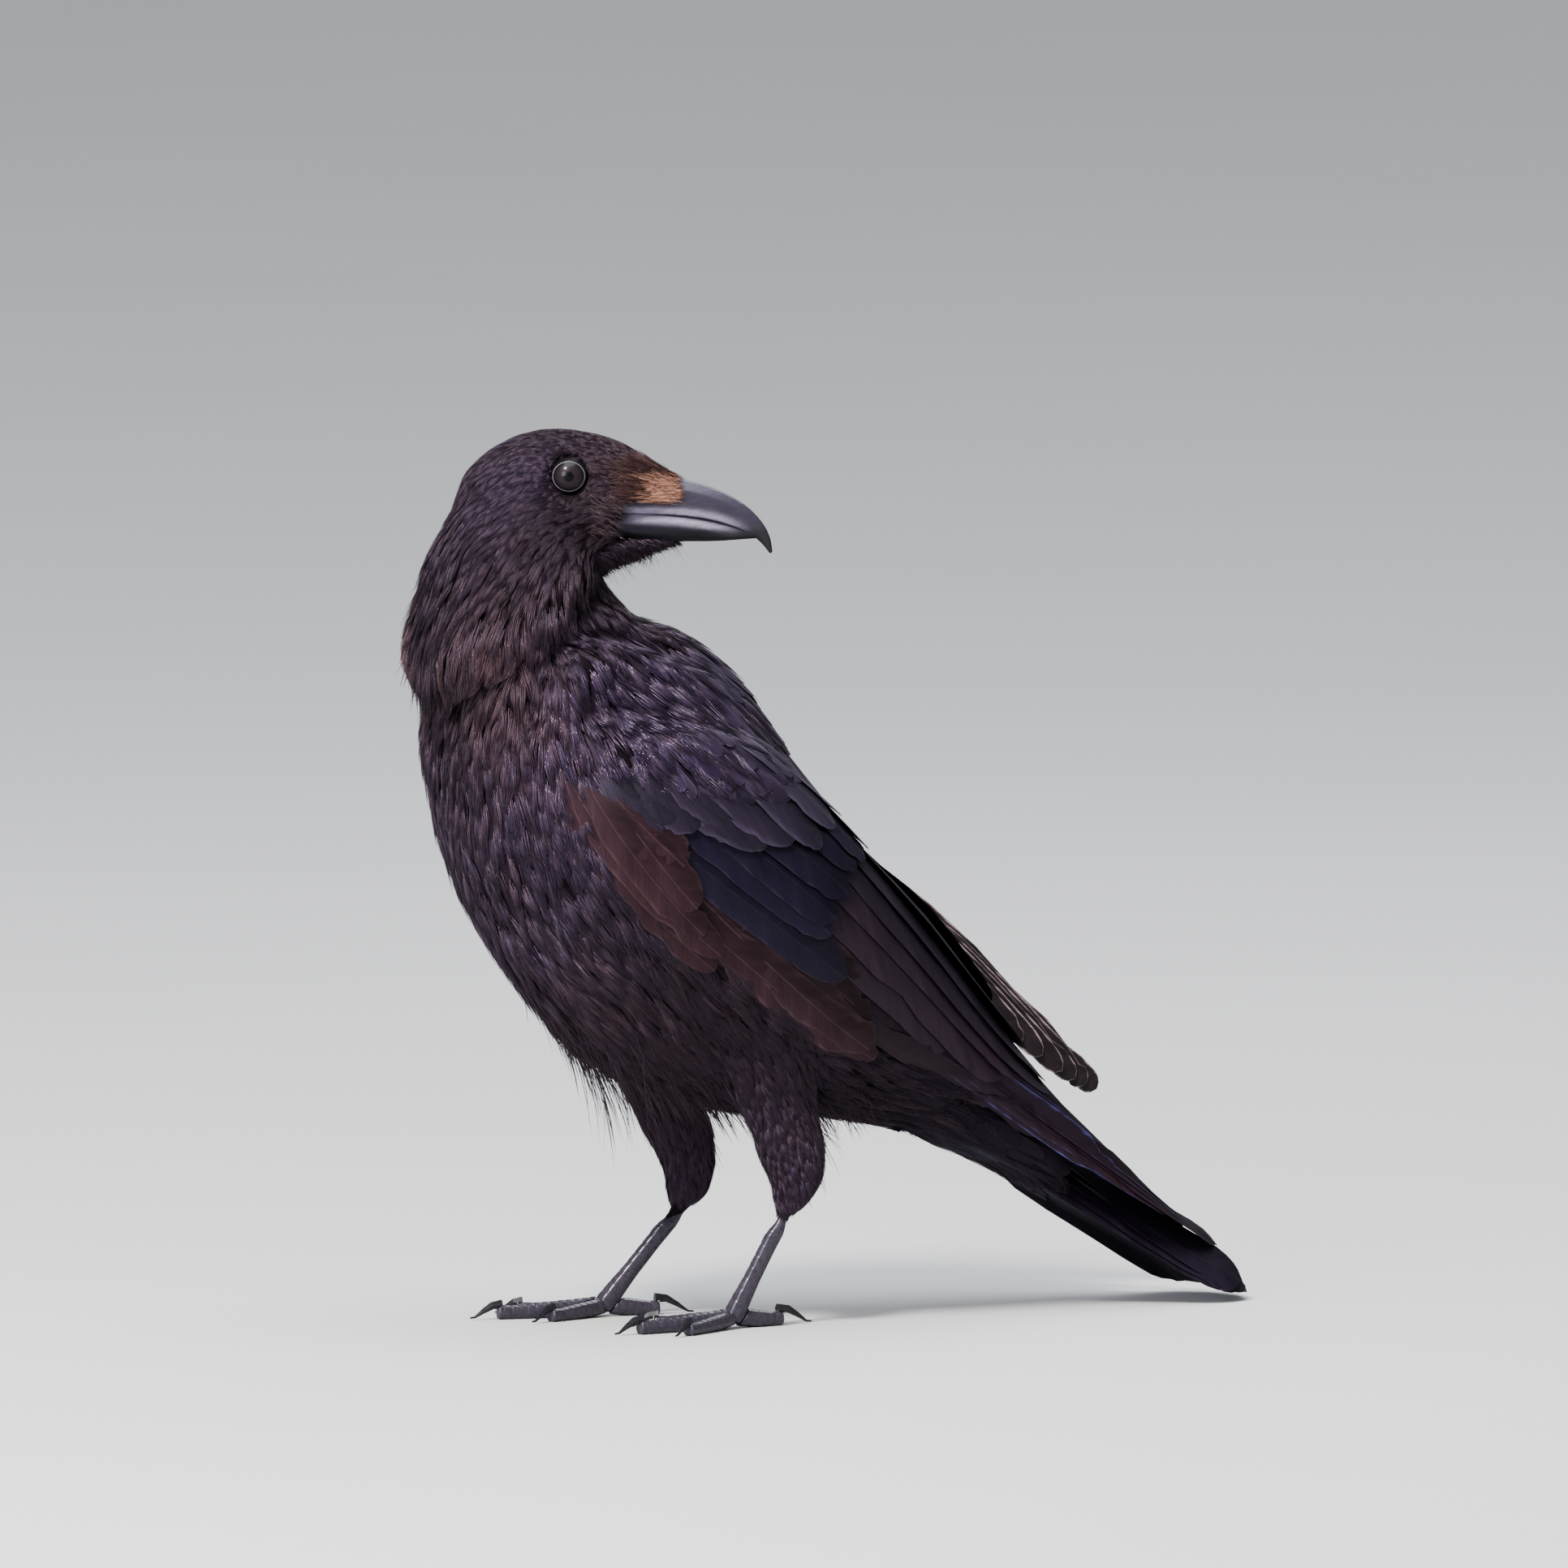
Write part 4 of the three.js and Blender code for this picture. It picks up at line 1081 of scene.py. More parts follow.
# Feathers have this share of their length at the lids and grow to the whole of it.
LID_LENGTH_SHARE = 0.35
LENGTH_GROWS_FROM, LENGTH_GROWS_OVER = 5.5 * MM, 7 * MM

# Hackles whose tips come this close to the crease end beside it, somewhere between these places, and none
# is shorter than this.
HACKLE_REACH = 3 * MM
HACKLE_ENDS = (-1.0, 4.5)
SHORTEST_HACKLE = 6 * MM


def near_eye(points, length):
    """Feathers shorten towards the lids."""
    distance, _ = from_eye(points)
    grown = np.clip((distance - LENGTH_GROWS_FROM) / LENGTH_GROWS_OVER, 0, 1)
    return length * (LID_LENGTH_SHARE + (1 - LID_LENGTH_SHARE) * grown)


def hackles(points, length):
    """Hackles above the collar's crease stop near it and stand out, so that their tips make its ragged
    edge. Gives their lengths, and 1 for each one that stands out."""
    gap, height = at_collar(points)
    above = (height > 0.5 * gap) & (gap < length + HACKLE_REACH)
    ragged_tip = np.maximum(gap + rng.uniform(*HACKLE_ENDS, len(points)) * MM, SHORTEST_HACKLE)
    return np.where(above, np.minimum(length * 1.1, ragged_tip), length), above * 1.0


# Roots of rounded vanes tried on each square metre, how near to each other they may stay for their width,
# and how straight and how smoothly a vane has to lie to be kept.
VANES_PER_AREA = 0.25e6
VANE_SPACING = 0.46
STRAIGHT_ENOUGH, SMOOTH_ENOUGH = 0.8, 0.7

# How many times soft feathers cover the skin, and their greatest width.
SOFT_OVERLAP = 5.2
SOFT_WIDEST = 2.2


def rounded_vanes():
    """Broad rounded feathers of the mantle, shoulder and lesser coverts."""
    points, normals, uv = scatter(VANES_PER_AREA, open_skin * (vane_share > 0.05) * vane_share)
    facts = lie(points)[1]
    kept = spaced(points, facts[:, WIDTH] * VANE_SPACING * MM)
    points, normals, uv, facts = (values[kept] for values in (points, normals, uv, facts))
    n = len(points)
    length = facts[:, LENGTH] * MM * rng.uniform(0.85, 1.15, n)
    path, up = march(points, normals, length, rng.normal(0, 0.13, n), 5)
    straight = np.linalg.norm(path[:, -1] - path[:, 0], axis=1) > STRAIGHT_ENOUGH * length
    sound = straight & ((up[:, 1:] * up[:, :-1]).sum(2).min(1) > SMOOTH_ENOUGH)
    path, up, uv, facts, points = (values[sound] for values in (path, up, uv, facts, points))
    n = len(points)
    rings = np.array([0, 0.22, 0.45, 0.66, 0.82, 0.93, 0.985])
    t = np.append(rings, 1.0)
    half = (facts[:, WIDTH] * MM / 2 * rng.uniform(0.85, 1.1, n))[:, None] * rounded(t, 0.4, 0.34)
    half = half * (1 - 0.14 * rng.random((n, len(t))) * (t > 0.3))
    lift = (facts[:, STAND] * MM * rng.uniform(0.8, 1.2, n))[:, None] * (0.1 + 0.9 * t ** 0.9)
    return vanes("contour_vanes", path, up, rings, half, lift, BROAD, uv, tints(facts, points),
                 thick=0.03, camber=0.16, rib=0.03 * MM, tilt=rng.normal(0, 0.06, n))


def soft_vanes():
    """Narrow pointed feathers of the head, neck, breast, belly and thighs."""
    size = skin_facts[:, LENGTH] * skin_facts[:, WIDTH] * MM * MM
    points, normals, uv = scatter(SOFT_OVERLAP / size, open_skin * (0.15 + 0.85 * hair_share))
    facts = lie(points)[1]
    n = len(points)
    length, _ = hackles(points, near_eye(points, facts[:, LENGTH] * MM * rng.uniform(0.8, 1.25, n)))
    path, up = march(points, normals, length, rng.normal(0, 0.11, n), 3)
    rings = np.array([0, 0.34, 0.68, 0.90])
    t = np.append(rings, 1.0)
    outline = np.array([0.35, 0.95, 0.85, 0.42, 0])
    width = np.minimum(0.75 * facts[:, WIDTH], SOFT_WIDEST)
    half = (width * MM / 2 * rng.uniform(0.7, 1.1, n))[:, None] * outline
    lift = (facts[:, STAND] * MM * rng.uniform(0.35, 0.75, n))[:, None] * (0.1 + 0.9 * t)
    return vanes("soft_feathers", path, up, rings, half, lift, NARROW, uv, tints(facts, points),
                 thick=0.14, camber=0.30, tilt=rng.normal(0, 0.10, n))


# Locks: barbs in each, points along each barb, least and greatest width, how many times they cover the
# skin, and a barb's half width as a share of its place in the lock.
BARBS_IN_LOCK = 9
BARB_STEPS = 4
LOCK_WIDTHS = (1.8, 4.6)
LOCK_OVERLAP = 4.6
BARB_SHARE = 0.46


def along_each(values, t):
    """Linear reading of each copy's own values (copies, steps, 3) at its own places t (copies, n)."""
    x = np.clip(t, 0, 1) * (values.shape[1] - 1)
    low = np.minimum(x.astype(int), values.shape[1] - 2)
    f = (x - low)[..., None]
    copy = np.arange(len(values))[:, None]
    return values[copy, low] * (1 - f) + values[copy, low + 1] * f


def locks():
    """Hair-like barbs gathered into pointed locks, which overlap like small feathers."""
    wide = np.clip(skin_facts[:, WIDTH], *LOCK_WIDTHS)
    size = skin_facts[:, LENGTH] * wide * MM * MM
    points, normals, uv = scatter(LOCK_OVERLAP / size, open_skin * (0.35 + 0.65 * hair_share))
    facts = lie(points)[1]
    n, barbs = len(points), BARBS_IN_LOCK
    width = np.clip(facts[:, WIDTH], *LOCK_WIDTHS) * MM * rng.uniform(0.8, 1.2, n)
    length, over = hackles(points, near_eye(points, facts[:, LENGTH] * MM * rng.uniform(0.8, 1.2, n)))
    path, up = march(points, normals, length, rng.normal(0, 0.11, n), 4)
    side = unit(np.cross(np.gradient(path, axis=1), up))
    place_in = np.linspace(-1, 1, barbs) + rng.normal(0, 0.09, (n, barbs))
    start = rng.uniform(0, 0.3, (n, barbs))
    end = rng.uniform(0.80, 1.05, (n, barbs)) - 0.15 * place_in ** 2
    t = (start[..., None] + (end - start)[..., None] * np.linspace(0, 1, BARB_STEPS)).reshape(n, -1)
    outline = (0.45 + 0.55 * eased(t / 0.4)) * (1 - 0.85 * np.clip(t, 0, 1) ** 2.5)
    across = np.repeat(place_in, BARB_STEPS, axis=1)
    offset = across * outline * width[:, None] / 2
    stand = (facts[:, STAND] * MM * rng.uniform(0.75, 1.2, n) * (1 + 0.8 * over))[:, None]
    rise = stand * (0.30 + 0.75 * t) + 0.12 * width[:, None] * (1 - across ** 2)
    ups = along_each(up, t)
    strand = along_each(path, t) + along_each(side, t) * offset[..., None] + ups * rise[..., None]
    half = np.repeat(width / barbs * BARB_SHARE, barbs)[:, None]
    half = half * rng.uniform(0.75, 1.2, (n * barbs, 1))
    tint = np.repeat(tints(facts, points), barbs, axis=0)
    tint[:, 2] += rng.normal(0, 0.15, len(tint))
    shape = (n * barbs, BARB_STEPS, 3)
    return vanes("barbs", strand.reshape(shape), ups.reshape(shape), np.array([0, 0.5]),
                 half * np.array([0.7, 1.0, 0]), half * np.zeros(3), NARROW, np.repeat(uv, barbs, axis=0),
                 tint, thick=0.5, camber=0.5)


coat = rounded_vanes() + soft_vanes() + locks()


# ---- loose strands and bristles ----

STRAND_STEPS = 5


def strands(name, roots, ways, lengths, widths, droop, tint, uv):
    """Free tapering hairs that bend as they hang: roots, ways (n, 3)."""
    n = len(roots)
    t = np.linspace(0, 1, STRAND_STEPS)
    path = roots[:, None] + ways[:, None] * (lengths[:, None] * t)[..., None]
    path = path + np.asarray(droop)[None, None] * (lengths[:, None] * t ** 2)[..., None]
    up = unit(np.cross(np.cross(ways, rng.normal(0, 1, (n, 3))), ways))
    rings = np.array([0, 0.33, 0.7])
    half = (widths / 2)[:, None] * np.array([0.8, 1.0, 0.7, 0])
    ups = np.repeat(up[:, None], STRAND_STEPS, 1)
    return vanes(name, path, ups, rings, half, half * 0, NARROW, uv, tint, thick=0.5, camber=0.9)


def onto_skin(points):
    """The nearest places on the skin, the normals there and the triangles."""
    found = [skin_tree.find_nearest(Vector(p)) for p in points]
    return np.array([f[0] for f in found]), triangle_normals[[f[2] for f in found]], [f[2] for f in found]


# Tufts of loose strands: middle, spread, direction, count, length, width.
TUFTS = {
    "belly": ((-36, -14, 103), (13, 12, 5), (0.80, -0.02, -0.56), 300, 19, 0.35),
    "belly_long": ((-22, -10, 94), (9, 9, 4), (0.66, -0.02, -0.70), 110, 28, 0.32),
    "between_legs": ((8, 8, 82), (12, 12, 4), (0.80, 0.05, -0.50), 220, 15, 0.35),
    "vent": ((46, -16, 76), (12, 12, 5), (0.80, -0.05, -0.52), 300, 12, 0.35),
    "thigh_back": ((38, -32, 66), (5, 7, 10), (0.48, 0.0, -0.86), 90, 7, 0.3),
    "collar": ((-92, -8, 226), (5, 12, 16), (-0.15, 0.05, -0.97), 60, 9, 0.35),
    "nape": ((-86, 8, 258), (5, 12, 12), (-0.35, 0.12, -0.92), 60, 7, 0.3),
    "chin": ((-10, -10, 262), (9, 6, 3), (0.10, 0.0, -0.95), 110, 6, 0.3),
}


def tufts():
    """Tufts of strands on both sides of the body."""
    roots, ways, lengths, widths, ids = [], [], [], [], []
    for middle_at, wide, way, count, length, width in TUFTS.values():
        for flip in (1, -1):
            p = place(np.array(middle_at) * (1, flip, 1) + rng.normal(0, 1, (count // 2, 3)) * wide)
            p, up, index = onto_skin(p)
            w = unit(np.array(way) * (1, flip, 1) + rng.normal(0, 0.16, p.shape) + 0.15 * up)
            roots.append(p)
            ways.append(w)
            lengths.append(length * MM * rng.uniform(0.45, 1.15, len(p)))
            widths.append(np.full(len(p), width * MM))
            ids += list(index)
    roots, ways, lengths, widths = (np.concatenate(values) for values in (roots, ways, lengths, widths))
    return strands("loose_strands", roots, ways, lengths, widths, (-0.10, 0, -0.30),
                   tint_of(len(ids), 0.15, 0.2), uv_of(ids))


coat += tufts()

# Bristles over the nostril: how many are tried and the steps each one takes. Rays to the head start
# BESIDE_HEAD, in the head's millimetres.
head_tree = tree_of("head", "bill_upper")
NASAL_COUNT = 3600
NASAL_STEPS = 3
BESIDE_HEAD = 30


def on_head(along, rise, side):
    """Where rays from both sides meet the head: roots, normals and which rays meet it."""
    start = head_place(np.stack([along, side * BESIDE_HEAD, rise], -1))
    inward = -side[:, None] * ACROSS_HEAD
    hits = [head_tree.ray_cast(Vector(p), Vector(way)) for p, way in zip(start, inward)]
    keep = [i for i, hit in enumerate(hits) if hit[0] is not None]
    return np.array([hits[i][0] for i in keep]), np.array([hits[i][1] for i in keep]), keep


def laid_over(ways, ups, stand):
    """Ways laid flat on a surface, then stood up a little."""
    return unit(ways - (ways * ups).sum(1)[:, None] * ups + stand * ups)


def bristles():
    """Tan bristles that lie forwards over the nostril and the base of the bill."""
    along = 10 + 21 * rng.random(NASAL_COUNT) ** 0.75
    stays = rng.random(NASAL_COUNT) < np.clip((along - 10) / 8, 0, 1) ** 1.5
    along = np.where(stays, along, rng.uniform(18, 31, NASAL_COUNT))
    rise = rng.uniform(-7.6, 7.5, NASAL_COUNT) + rng.normal(0, 0.7, NASAL_COUNT)
    roots, ups, keep = on_head(along, rise, rng.choice((-1, 1), NASAL_COUNT))
    along, rise = along[keep], rise[keep]
    n = len(roots)
    ways = np.array([1.0, 0, 0])[None] + np.stack([np.zeros(n), np.zeros(n), -0.10 - 0.012 * rise], -1)
    ways = laid_over(head_steps(0, ways + rng.normal(0, 0.07, (n, 3))), ups, 0.10)
    lengths = rng.uniform(6.5, 10.5, n) * MM
    path, up = [roots], [ups]
    here = roots
    for _ in range(NASAL_STEPS):
        ahead = here + ways * (lengths / NASAL_STEPS)[:, None]
        found = [head_tree.find_nearest(Vector(p)) for p in ahead]
        here = np.array([f[0] for f in found])
        path.append(here)
        up.append(np.array([f[1] for f in found]))
    rings = np.array([0, 0.35, 0.7])
    t = np.append(rings, 1.0)
    half = (rng.uniform(0.16, 0.30, n) / 2 * MM)[:, None] * np.array([0.9, 1.0, 0.8, 0])
    lift = (rng.uniform(0.0, 0.8, n) * MM)[:, None] * (0.5 + 0.5 * t) + 0.10 * MM
    warm = eased((along - 17.0) / 6.5) * (1 - 0.9 * eased((rise - 0.5) / 3.5))
    warm = np.clip(warm + rng.normal(0, 0.12, n), 0, 1) ** 1.6
    tint = tint_of(n, warm, 0)
    return vanes("nasal_bristles", np.stack(path, 1), unit(np.stack(up, 1)), rings, half, lift, NARROW,
                 uv_of(onto_skin(roots)[2]), tint, thick=0.5, camber=0.9)


bristle_pieces = bristles()


# The chin's hairs start on the head, or on the lower bill as far along it as BARE_BILL_FROM. Only hairs
# that start below THROAT_TOP stay, and their roots lie ROOT_DEPTH inside.
BEARD_COUNT = 3200
BEARD_LONG = 90
BELOW_HEAD = -70
BARE_BILL_FROM = 23
THROAT_TOP = 15 * MM
ROOT_DEPTH = 1.2 * MM
GAPE_COUNT = 260


def beard():
    """Short dark hairs that cover the chin and reach forward under the bill, with a few long ones."""
    along = rng.uniform(4, 34.5, BEARD_COUNT)
    side = rng.uniform(-1, 1, BEARD_COUNT) * np.interp(along, (4, 20, 35), (12, 8.5, 5.5))
    start = head_place(np.stack([along, side, np.full(BEARD_COUNT, BELOW_HEAD)], -1))
    chin_tree, bill_tree = tree_of("head"), tree_of("bill_lower")
    hits = []
    for p, far in zip(start, along):
        hit = chin_tree.ray_cast(Vector(p), Vector(UPWARDS))[0]
        if hit is None and far < BARE_BILL_FROM:
            hit = bill_tree.ray_cast(Vector(p), Vector(UPWARDS))[0]
        hits.append(hit)
    keep = [i for i, hit in enumerate(hits) if hit is not None and hit.z < HEAD_AT[2] - THROAT_TOP]
    roots = np.array([hits[i] for i in keep]) + UPWARDS * ROOT_DEPTH
    n = len(roots)
    outward = np.sign(side[keep])[:, None] * ACROSS_HEAD
    is_long = np.arange(n) < BEARD_LONG
    drop = np.where(is_long, 0.85, 0.30)[:, None] * -UPWARDS
    ways = unit(ALONG_BILL * 0.9 + outward * 0.10 + drop + rng.normal(0, 0.10, (n, 3)))
    lengths = np.where(is_long, rng.uniform(6, 10, n), rng.uniform(3.5, 6.0, n)) * MM
    widths = np.where(is_long, 0.16, 0.34) * MM
    return strands("beard", roots, ways, lengths, widths, (-0.1, 0, -0.15), tint_of(n, 0.1, 0.2),
                   uv_of(onto_skin(roots)[2]))


def gape_bristles():
    """Thin pale bristles that sweep from the lores over the corner of the mouth."""
    along = rng.uniform(7, 19, GAPE_COUNT)
    rise = rng.uniform(-19, -5, GAPE_COUNT)
    roots, ups, _ = on_head(along, rise, rng.choice((-1, 1), GAPE_COUNT))
    n = len(roots)
    ways = ALONG_BILL * 0.9 + np.array((0, 0, -0.35)) + rng.normal(0, 0.16, (n, 3))
    ways = laid_over(ways, ups, 0.16)
    lengths = rng.uniform(3.5, 6.5, n) * MM
    tint = tint_of(n, 0.1, rng.uniform(0, 0.8, n))
    return strands("gape_bristles", roots, ways, lengths, np.full(n, 0.12 * MM), (0, 0, -0.20), tint,
                   uv_of(onto_skin(roots)[2]))


coat += beard()
bristle_pieces += gape_bristles()


# ---- bill, eyes and legs ----

BILL_GRID = 0.42 * MM
BILL_RELAXINGS = 3
EDGE_BINS = 49
OUTLINE_BINS = 39

# The swollen edge thins out towards the tip. The strip with the painted highlight lies beside the edge,
# starts behind the feathers' end and stops before the tip.
THINS_OVER, THINNEST_SHARE = 22 * MM, 0.25
ROUNDS_OVER = 1.5 * MM
HIGHLIGHT_FROM, HIGHLIGHT_FROM_OVER = 17 * MM, 6 * MM
HIGHLIGHT_END, HIGHLIGHT_END_OVER = 5 * MM, 14 * MM
HIGHLIGHT_BESIDE, HIGHLIGHT_WIDE = 1.7 * MM, 1.0 * MM

# The squared edge: how square its outline is, how much of it is filled out, and the length of the tip that
# stays as it is.
SQUARENESS = 14
FILLED = 0.9
TIP_STAYS = 11 * MM


def in_bins(along, count):
    """The bin that each place falls in, and the middles of the bins."""
    bins = np.linspace(along.min(), along.max(), count + 1)
    return np.clip(np.digitize(along, bins) - 1, 0, count - 1), (bins[1:] + bins[:-1]) / 2


def rolled_edge(piece, side_of_edge, inset, rise, wide):
    """Swells a band along the cutting edge, which is the lowest line of the upper half and the highest of
    the lower, and marks the strip beside it that gets a painted highlight."""
    points = read(piece.data)
    along, across = along_and_across(points)
    index, middle_of = in_bins(along, EDGE_BINS)
    edge = np.array([(points[index == k, 2] * side_of_edge).max() if (index == k).any() else np.nan
                     for k in range(EDGE_BINS)])
    known = np.isfinite(edge)
    edge = np.interp(along, middle_of[known], edge[known]) * side_of_edge
    gap = np.abs(points[:, 2] - edge)
    taper = np.clip((along.max() - along) / THINS_OVER, THINNEST_SHARE, 1)
    swell = rise * taper * np.exp(-0.5 * ((gap - inset * taper) / (wide * taper)) ** 2)
    sideways = np.clip(across / ROUNDS_OVER, -1, 1)
    move_to(piece, points + (sideways * swell)[:, None] * ACROSS_HEAD)
    ends = eased((along - HIGHLIGHT_FROM) / HIGHLIGHT_FROM_OVER)
    ends = ends * eased((along.max() - along - HIGHLIGHT_END) / HIGHLIGHT_END_OVER)
    band = ends * np.exp(-0.5 * ((gap - HIGHLIGHT_BESIDE) / HIGHLIGHT_WIDE) ** 2)
    # This mark is where the horn gets a painted highlight.
    highlight_mark = piece.data.attributes.new("edge_highlight", "FLOAT", "POINT")
    highlight_mark.data.foreach_set("value", band.astype(np.float32))
    return piece


def squared_edge(piece):
    """Fills out the rounded underside of the upper half to a square cutting edge."""
    points = read(piece.data)
    along, across = along_and_across(points)
    index, middle_of = in_bins(along, OUTLINE_BINS)
    rings = [index == k for k in range(OUTLINE_BINS)]
    low = np.array([points[ring, 2].min() for ring in rings])
    widest = np.array([points[ring, 2][np.abs(across[ring]).argmax()] for ring in rings])
    fit_low, fit_wide = (np.polyval(np.polyfit(middle_of, v, 5), along) for v in (low, widest))
    q = np.clip((fit_wide - points[:, 2]) / (fit_wide - fit_low), 0, 0.97)
    ratio = np.sqrt((1 - q ** SQUARENESS) / (1 - q ** 2))
    ratio = 1 + (ratio - 1) * FILLED * eased((along.max() - along) / TIP_STAYS)
    return move_to(piece, points + ((ratio - 1) * across)[:, None] * ACROSS_HEAD)


TIP_FROM = 45 * MM
TIP_REACH = ALONG_BILL * 1.5 + np.array((0, 0, 0.55))


def drawn_tip(piece):
    """Draws the tip of the lower half out until it meets the upper."""
    points = read(piece.data)
    along, _ = along_and_across(points)
    share = eased((along - TIP_FROM) / (along.max() - TIP_FROM))
    return move_to(piece, points + share[:, None] * TIP_REACH * MM)


upper_bill = squared_edge(remeshed(solid_copy("upper_bill", "bill_upper"), BILL_GRID, BILL_RELAXINGS))
upper_bill = rolled_edge(upper_bill, -1, inset=1.1 * MM, rise=0.55 * MM, wide=0.8 * MM)
lower_bill = drawn_tip(remeshed(solid_copy("lower_bill", "bill_lower"), BILL_GRID, BILL_RELAXINGS))
lower_bill = rolled_edge(lower_bill, 1, inset=3.3 * MM, rise=1.05 * MM, wide=1.7 * MM)


def eye_frame(at_point, outward):
    """Turns a shape built round the Z axis to look outwards from the head."""
    z = Vector(outward)
    x = Vector(ALONG_BILL)
    y = z.cross(x)
    return Matrix.Translation(Vector(at_point)) @ Matrix((x, y, z)).transposed().to_4x4()


# The lids are a ring with a row of beads on it, LID_HEIGHT out from the eye's middle. Each is a little
# inside or outside the ring's radius and above or below its height.
LID_HEIGHT = 3.3 * MM
LID_AT = (LID_RADIUS + 0.04 * MM, LID_HEIGHT - 0.15 * MM)
LID_THICK = 0.28 * MM
BEAD_AT = (LID_RADIUS - 0.06 * MM, LID_HEIGHT + 0.16 * MM)
BEAD_RADIUS = 0.23 * MM
BEAD_FLATTENED = Matrix.Diagonal((1, 1, 0.8, 1))
BEADS = 52


def eyeball():
    """A ball round the zero point."""
    form = bmesh.new()
    bmesh.ops.create_uvsphere(form, u_segments=64, v_segments=48, radius=EYE_RADIUS)
    return form


def lid_ring():
    """A round ring about the Z axis."""
    form = bmesh.new()
    profile = bmesh.ops.create_circle(form, segments=12, radius=LID_THICK)
    for v in profile["verts"]:
        v.co = Vector((LID_AT[0] + v.co.x, 0, LID_AT[1] + v.co.y))
    bmesh.ops.spin(form, geom=form.verts[:] + form.edges[:], cent=(0, 0, 0), axis=(0, 0, 1),
                   angle=2 * math.pi, steps=72, use_merge=True, use_duplicate=False)
    return form


def lid_beads():
    """Small flattened beads about the Z axis."""
    form = bmesh.new()
    for i in range(BEADS):
        turn_by = Matrix.Rotation(2 * math.pi * i / BEADS, 4, "Z")
        spot = turn_by @ Matrix.Translation((BEAD_AT[0], 0, BEAD_AT[1])) @ BEAD_FLATTENED
        bmesh.ops.create_icosphere(form, subdivisions=2, radius=BEAD_RADIUS, matrix=spot)
    return form


def set_on_ball(form):
    """Flattens a ring to the oval of the lids and keeps its height above the eyeball."""
    for v in form.verts:
        level = math.sqrt(EYE_RADIUS ** 2 - v.co.xy.length_squared)
        v.co.y *= LID_OPENING
        v.co.z += math.sqrt(EYE_RADIUS ** 2 - v.co.xy.length_squared) - level
    return form


def eye(name, at_point, outward):
    """The eyeball, the lids and their beads, turned outwards from the head."""
    turn = eye_frame(at_point, outward)
    pieces = []
    for title, form in (("eyeball", eyeball()), ("lid", set_on_ball(lid_ring())),
                        ("lid_beads", set_on_ball(lid_beads()))):
        bmesh.ops.transform(form, matrix=turn, verts=form.verts)
        bmesh.ops.recalc_face_normals(form, faces=form.faces)
        mesh = mesh_from(f"{title}_{name}", form)
        smooth_faces(mesh)
        pieces.append(linked(f"{title}_{name}", mesh))
    return pieces


near_eye_pieces = eye("right", EYE_NEAR, -ACROSS_HEAD)
far_eye_pieces = eye("left", EYE_FAR, ACROSS_HEAD)


LEG_GRID = 0.42 * MM
LEG_RELAXINGS = 4
AXIS_SAMPLES = 800
TOE_TOP = np.array((-0.35, 0, 0.9))

# How far the shank's upper end is drawn in, from how far below its top, and over what length.
TUCK = 0.55
TUCK_FROM, TUCK_OVER = 9 * MM, 7 * MM


def scaled(name, node, pitch, depth_of_step):
    """A copy of a leg solid with overlapping plates stepped along its front or its top. The upper end of
    the shank is drawn in, under the feathers of the thigh."""
    piece = remeshed(solid_copy(name, node), LEG_GRID, LEG_RELAXINGS)
    points = read(piece.data)
    normals = read(piece.data, "vertices", "normal")
    centre = points.mean(0)
    every = max(1, len(points) // AXIS_SAMPLES)
    _, _, axes = np.linalg.svd(points[::every] - centre, full_matrices=False)
    axis = axes[0] * (1 if axes[0][2] < 0 else -1)
    along = (points - centre) @ axis / pitch
    if "toe" in node:
        front = np.clip(normals @ TOE_TOP * 1.5 + 0.5, 0, 1)
    else:
        front = np.clip(-normals[:, 0] * 1.4 + 0.55, 0, 1)
    step = along - np.floor(along)
    rise = depth_of_step * (0.35 * step - np.abs(2 * step - 1) ** 7) * front
    points = points + normals * rise[:, None]
    if "tarsus" in node:
        top = points[:, 2].max()
        tuck = TUCK * eased((points[:, 2] - top + TUCK_FROM) / TUCK_OVER)
        middle_line = centre + ((points - centre) @ axis)[:, None] * axis
        points = points + (middle_line - points) * tuck[:, None]
    return move_to(piece, points)


# The plates' spacing and how far each one steps out.
SHANK_PLATES = (4.2 * MM, 0.22 * MM)
TOE_PLATES = (2.8 * MM, 0.20 * MM)
leg_pieces = {}
for limb in SIDE_NAMES.values():
    node = f"tarsus_{limb}"
    leg_pieces[node] = scaled(f"tarsus_scales_{limb}", node, *SHANK_PLATES)
    for toe in ("inner", "middle", "outer", "hind"):
        node = f"toe_{toe}_{limb}"
        leg_pieces[node] = scaled(f"toe_scales_{toe}_{limb}", node, *TOE_PLATES)


# ---- finishes ----

def rgba(value):
    """A colour with its fourth number; single numbers stay as they are."""
    return value if isinstance(value, float) else (*value[:3], 1)


def add(tree, kind, inputs=None, **settings):
    """A shader node with its settings; inputs are values or the sockets that feed them."""
    node = tree.nodes.new("ShaderNode" + kind)
    for key, value in settings.items():
        setattr(node, key, value)
    for key, value in (inputs or {}).items():
        if isinstance(value, bpy.types.NodeSocket):
            tree.links.new(value, node.inputs[key])
        elif node.inputs[key].type == "RGBA":
            node.inputs[key].default_value = rgba(value)
        else:
            node.inputs[key].default_value = value
    return node


def mix(tree, factor, a, b, blend="MIX"):
    """Colour a turned into colour b by a factor."""
    node = add(tree, "Mix", {0: factor, 6: a, 7: b}, data_type="RGBA", blend_type=blend)
    return node.outputs[2]


def maths(tree, what, a, b=0.0, c=0.0):
    return add(tree, "Math", {0: a, 1: b, 2: c}, operation=what).outputs[0]


def multiply(tree, a, b):
    return maths(tree, "MULTIPLY", a, b)


def scaled_and_moved(tree, value, by, plus):
    return maths(tree, "MULTIPLY_ADD", value, by, plus)


def own_place(tree):
    """The place on the object itself."""
    return add(tree, "TexCoord").outputs["Object"]


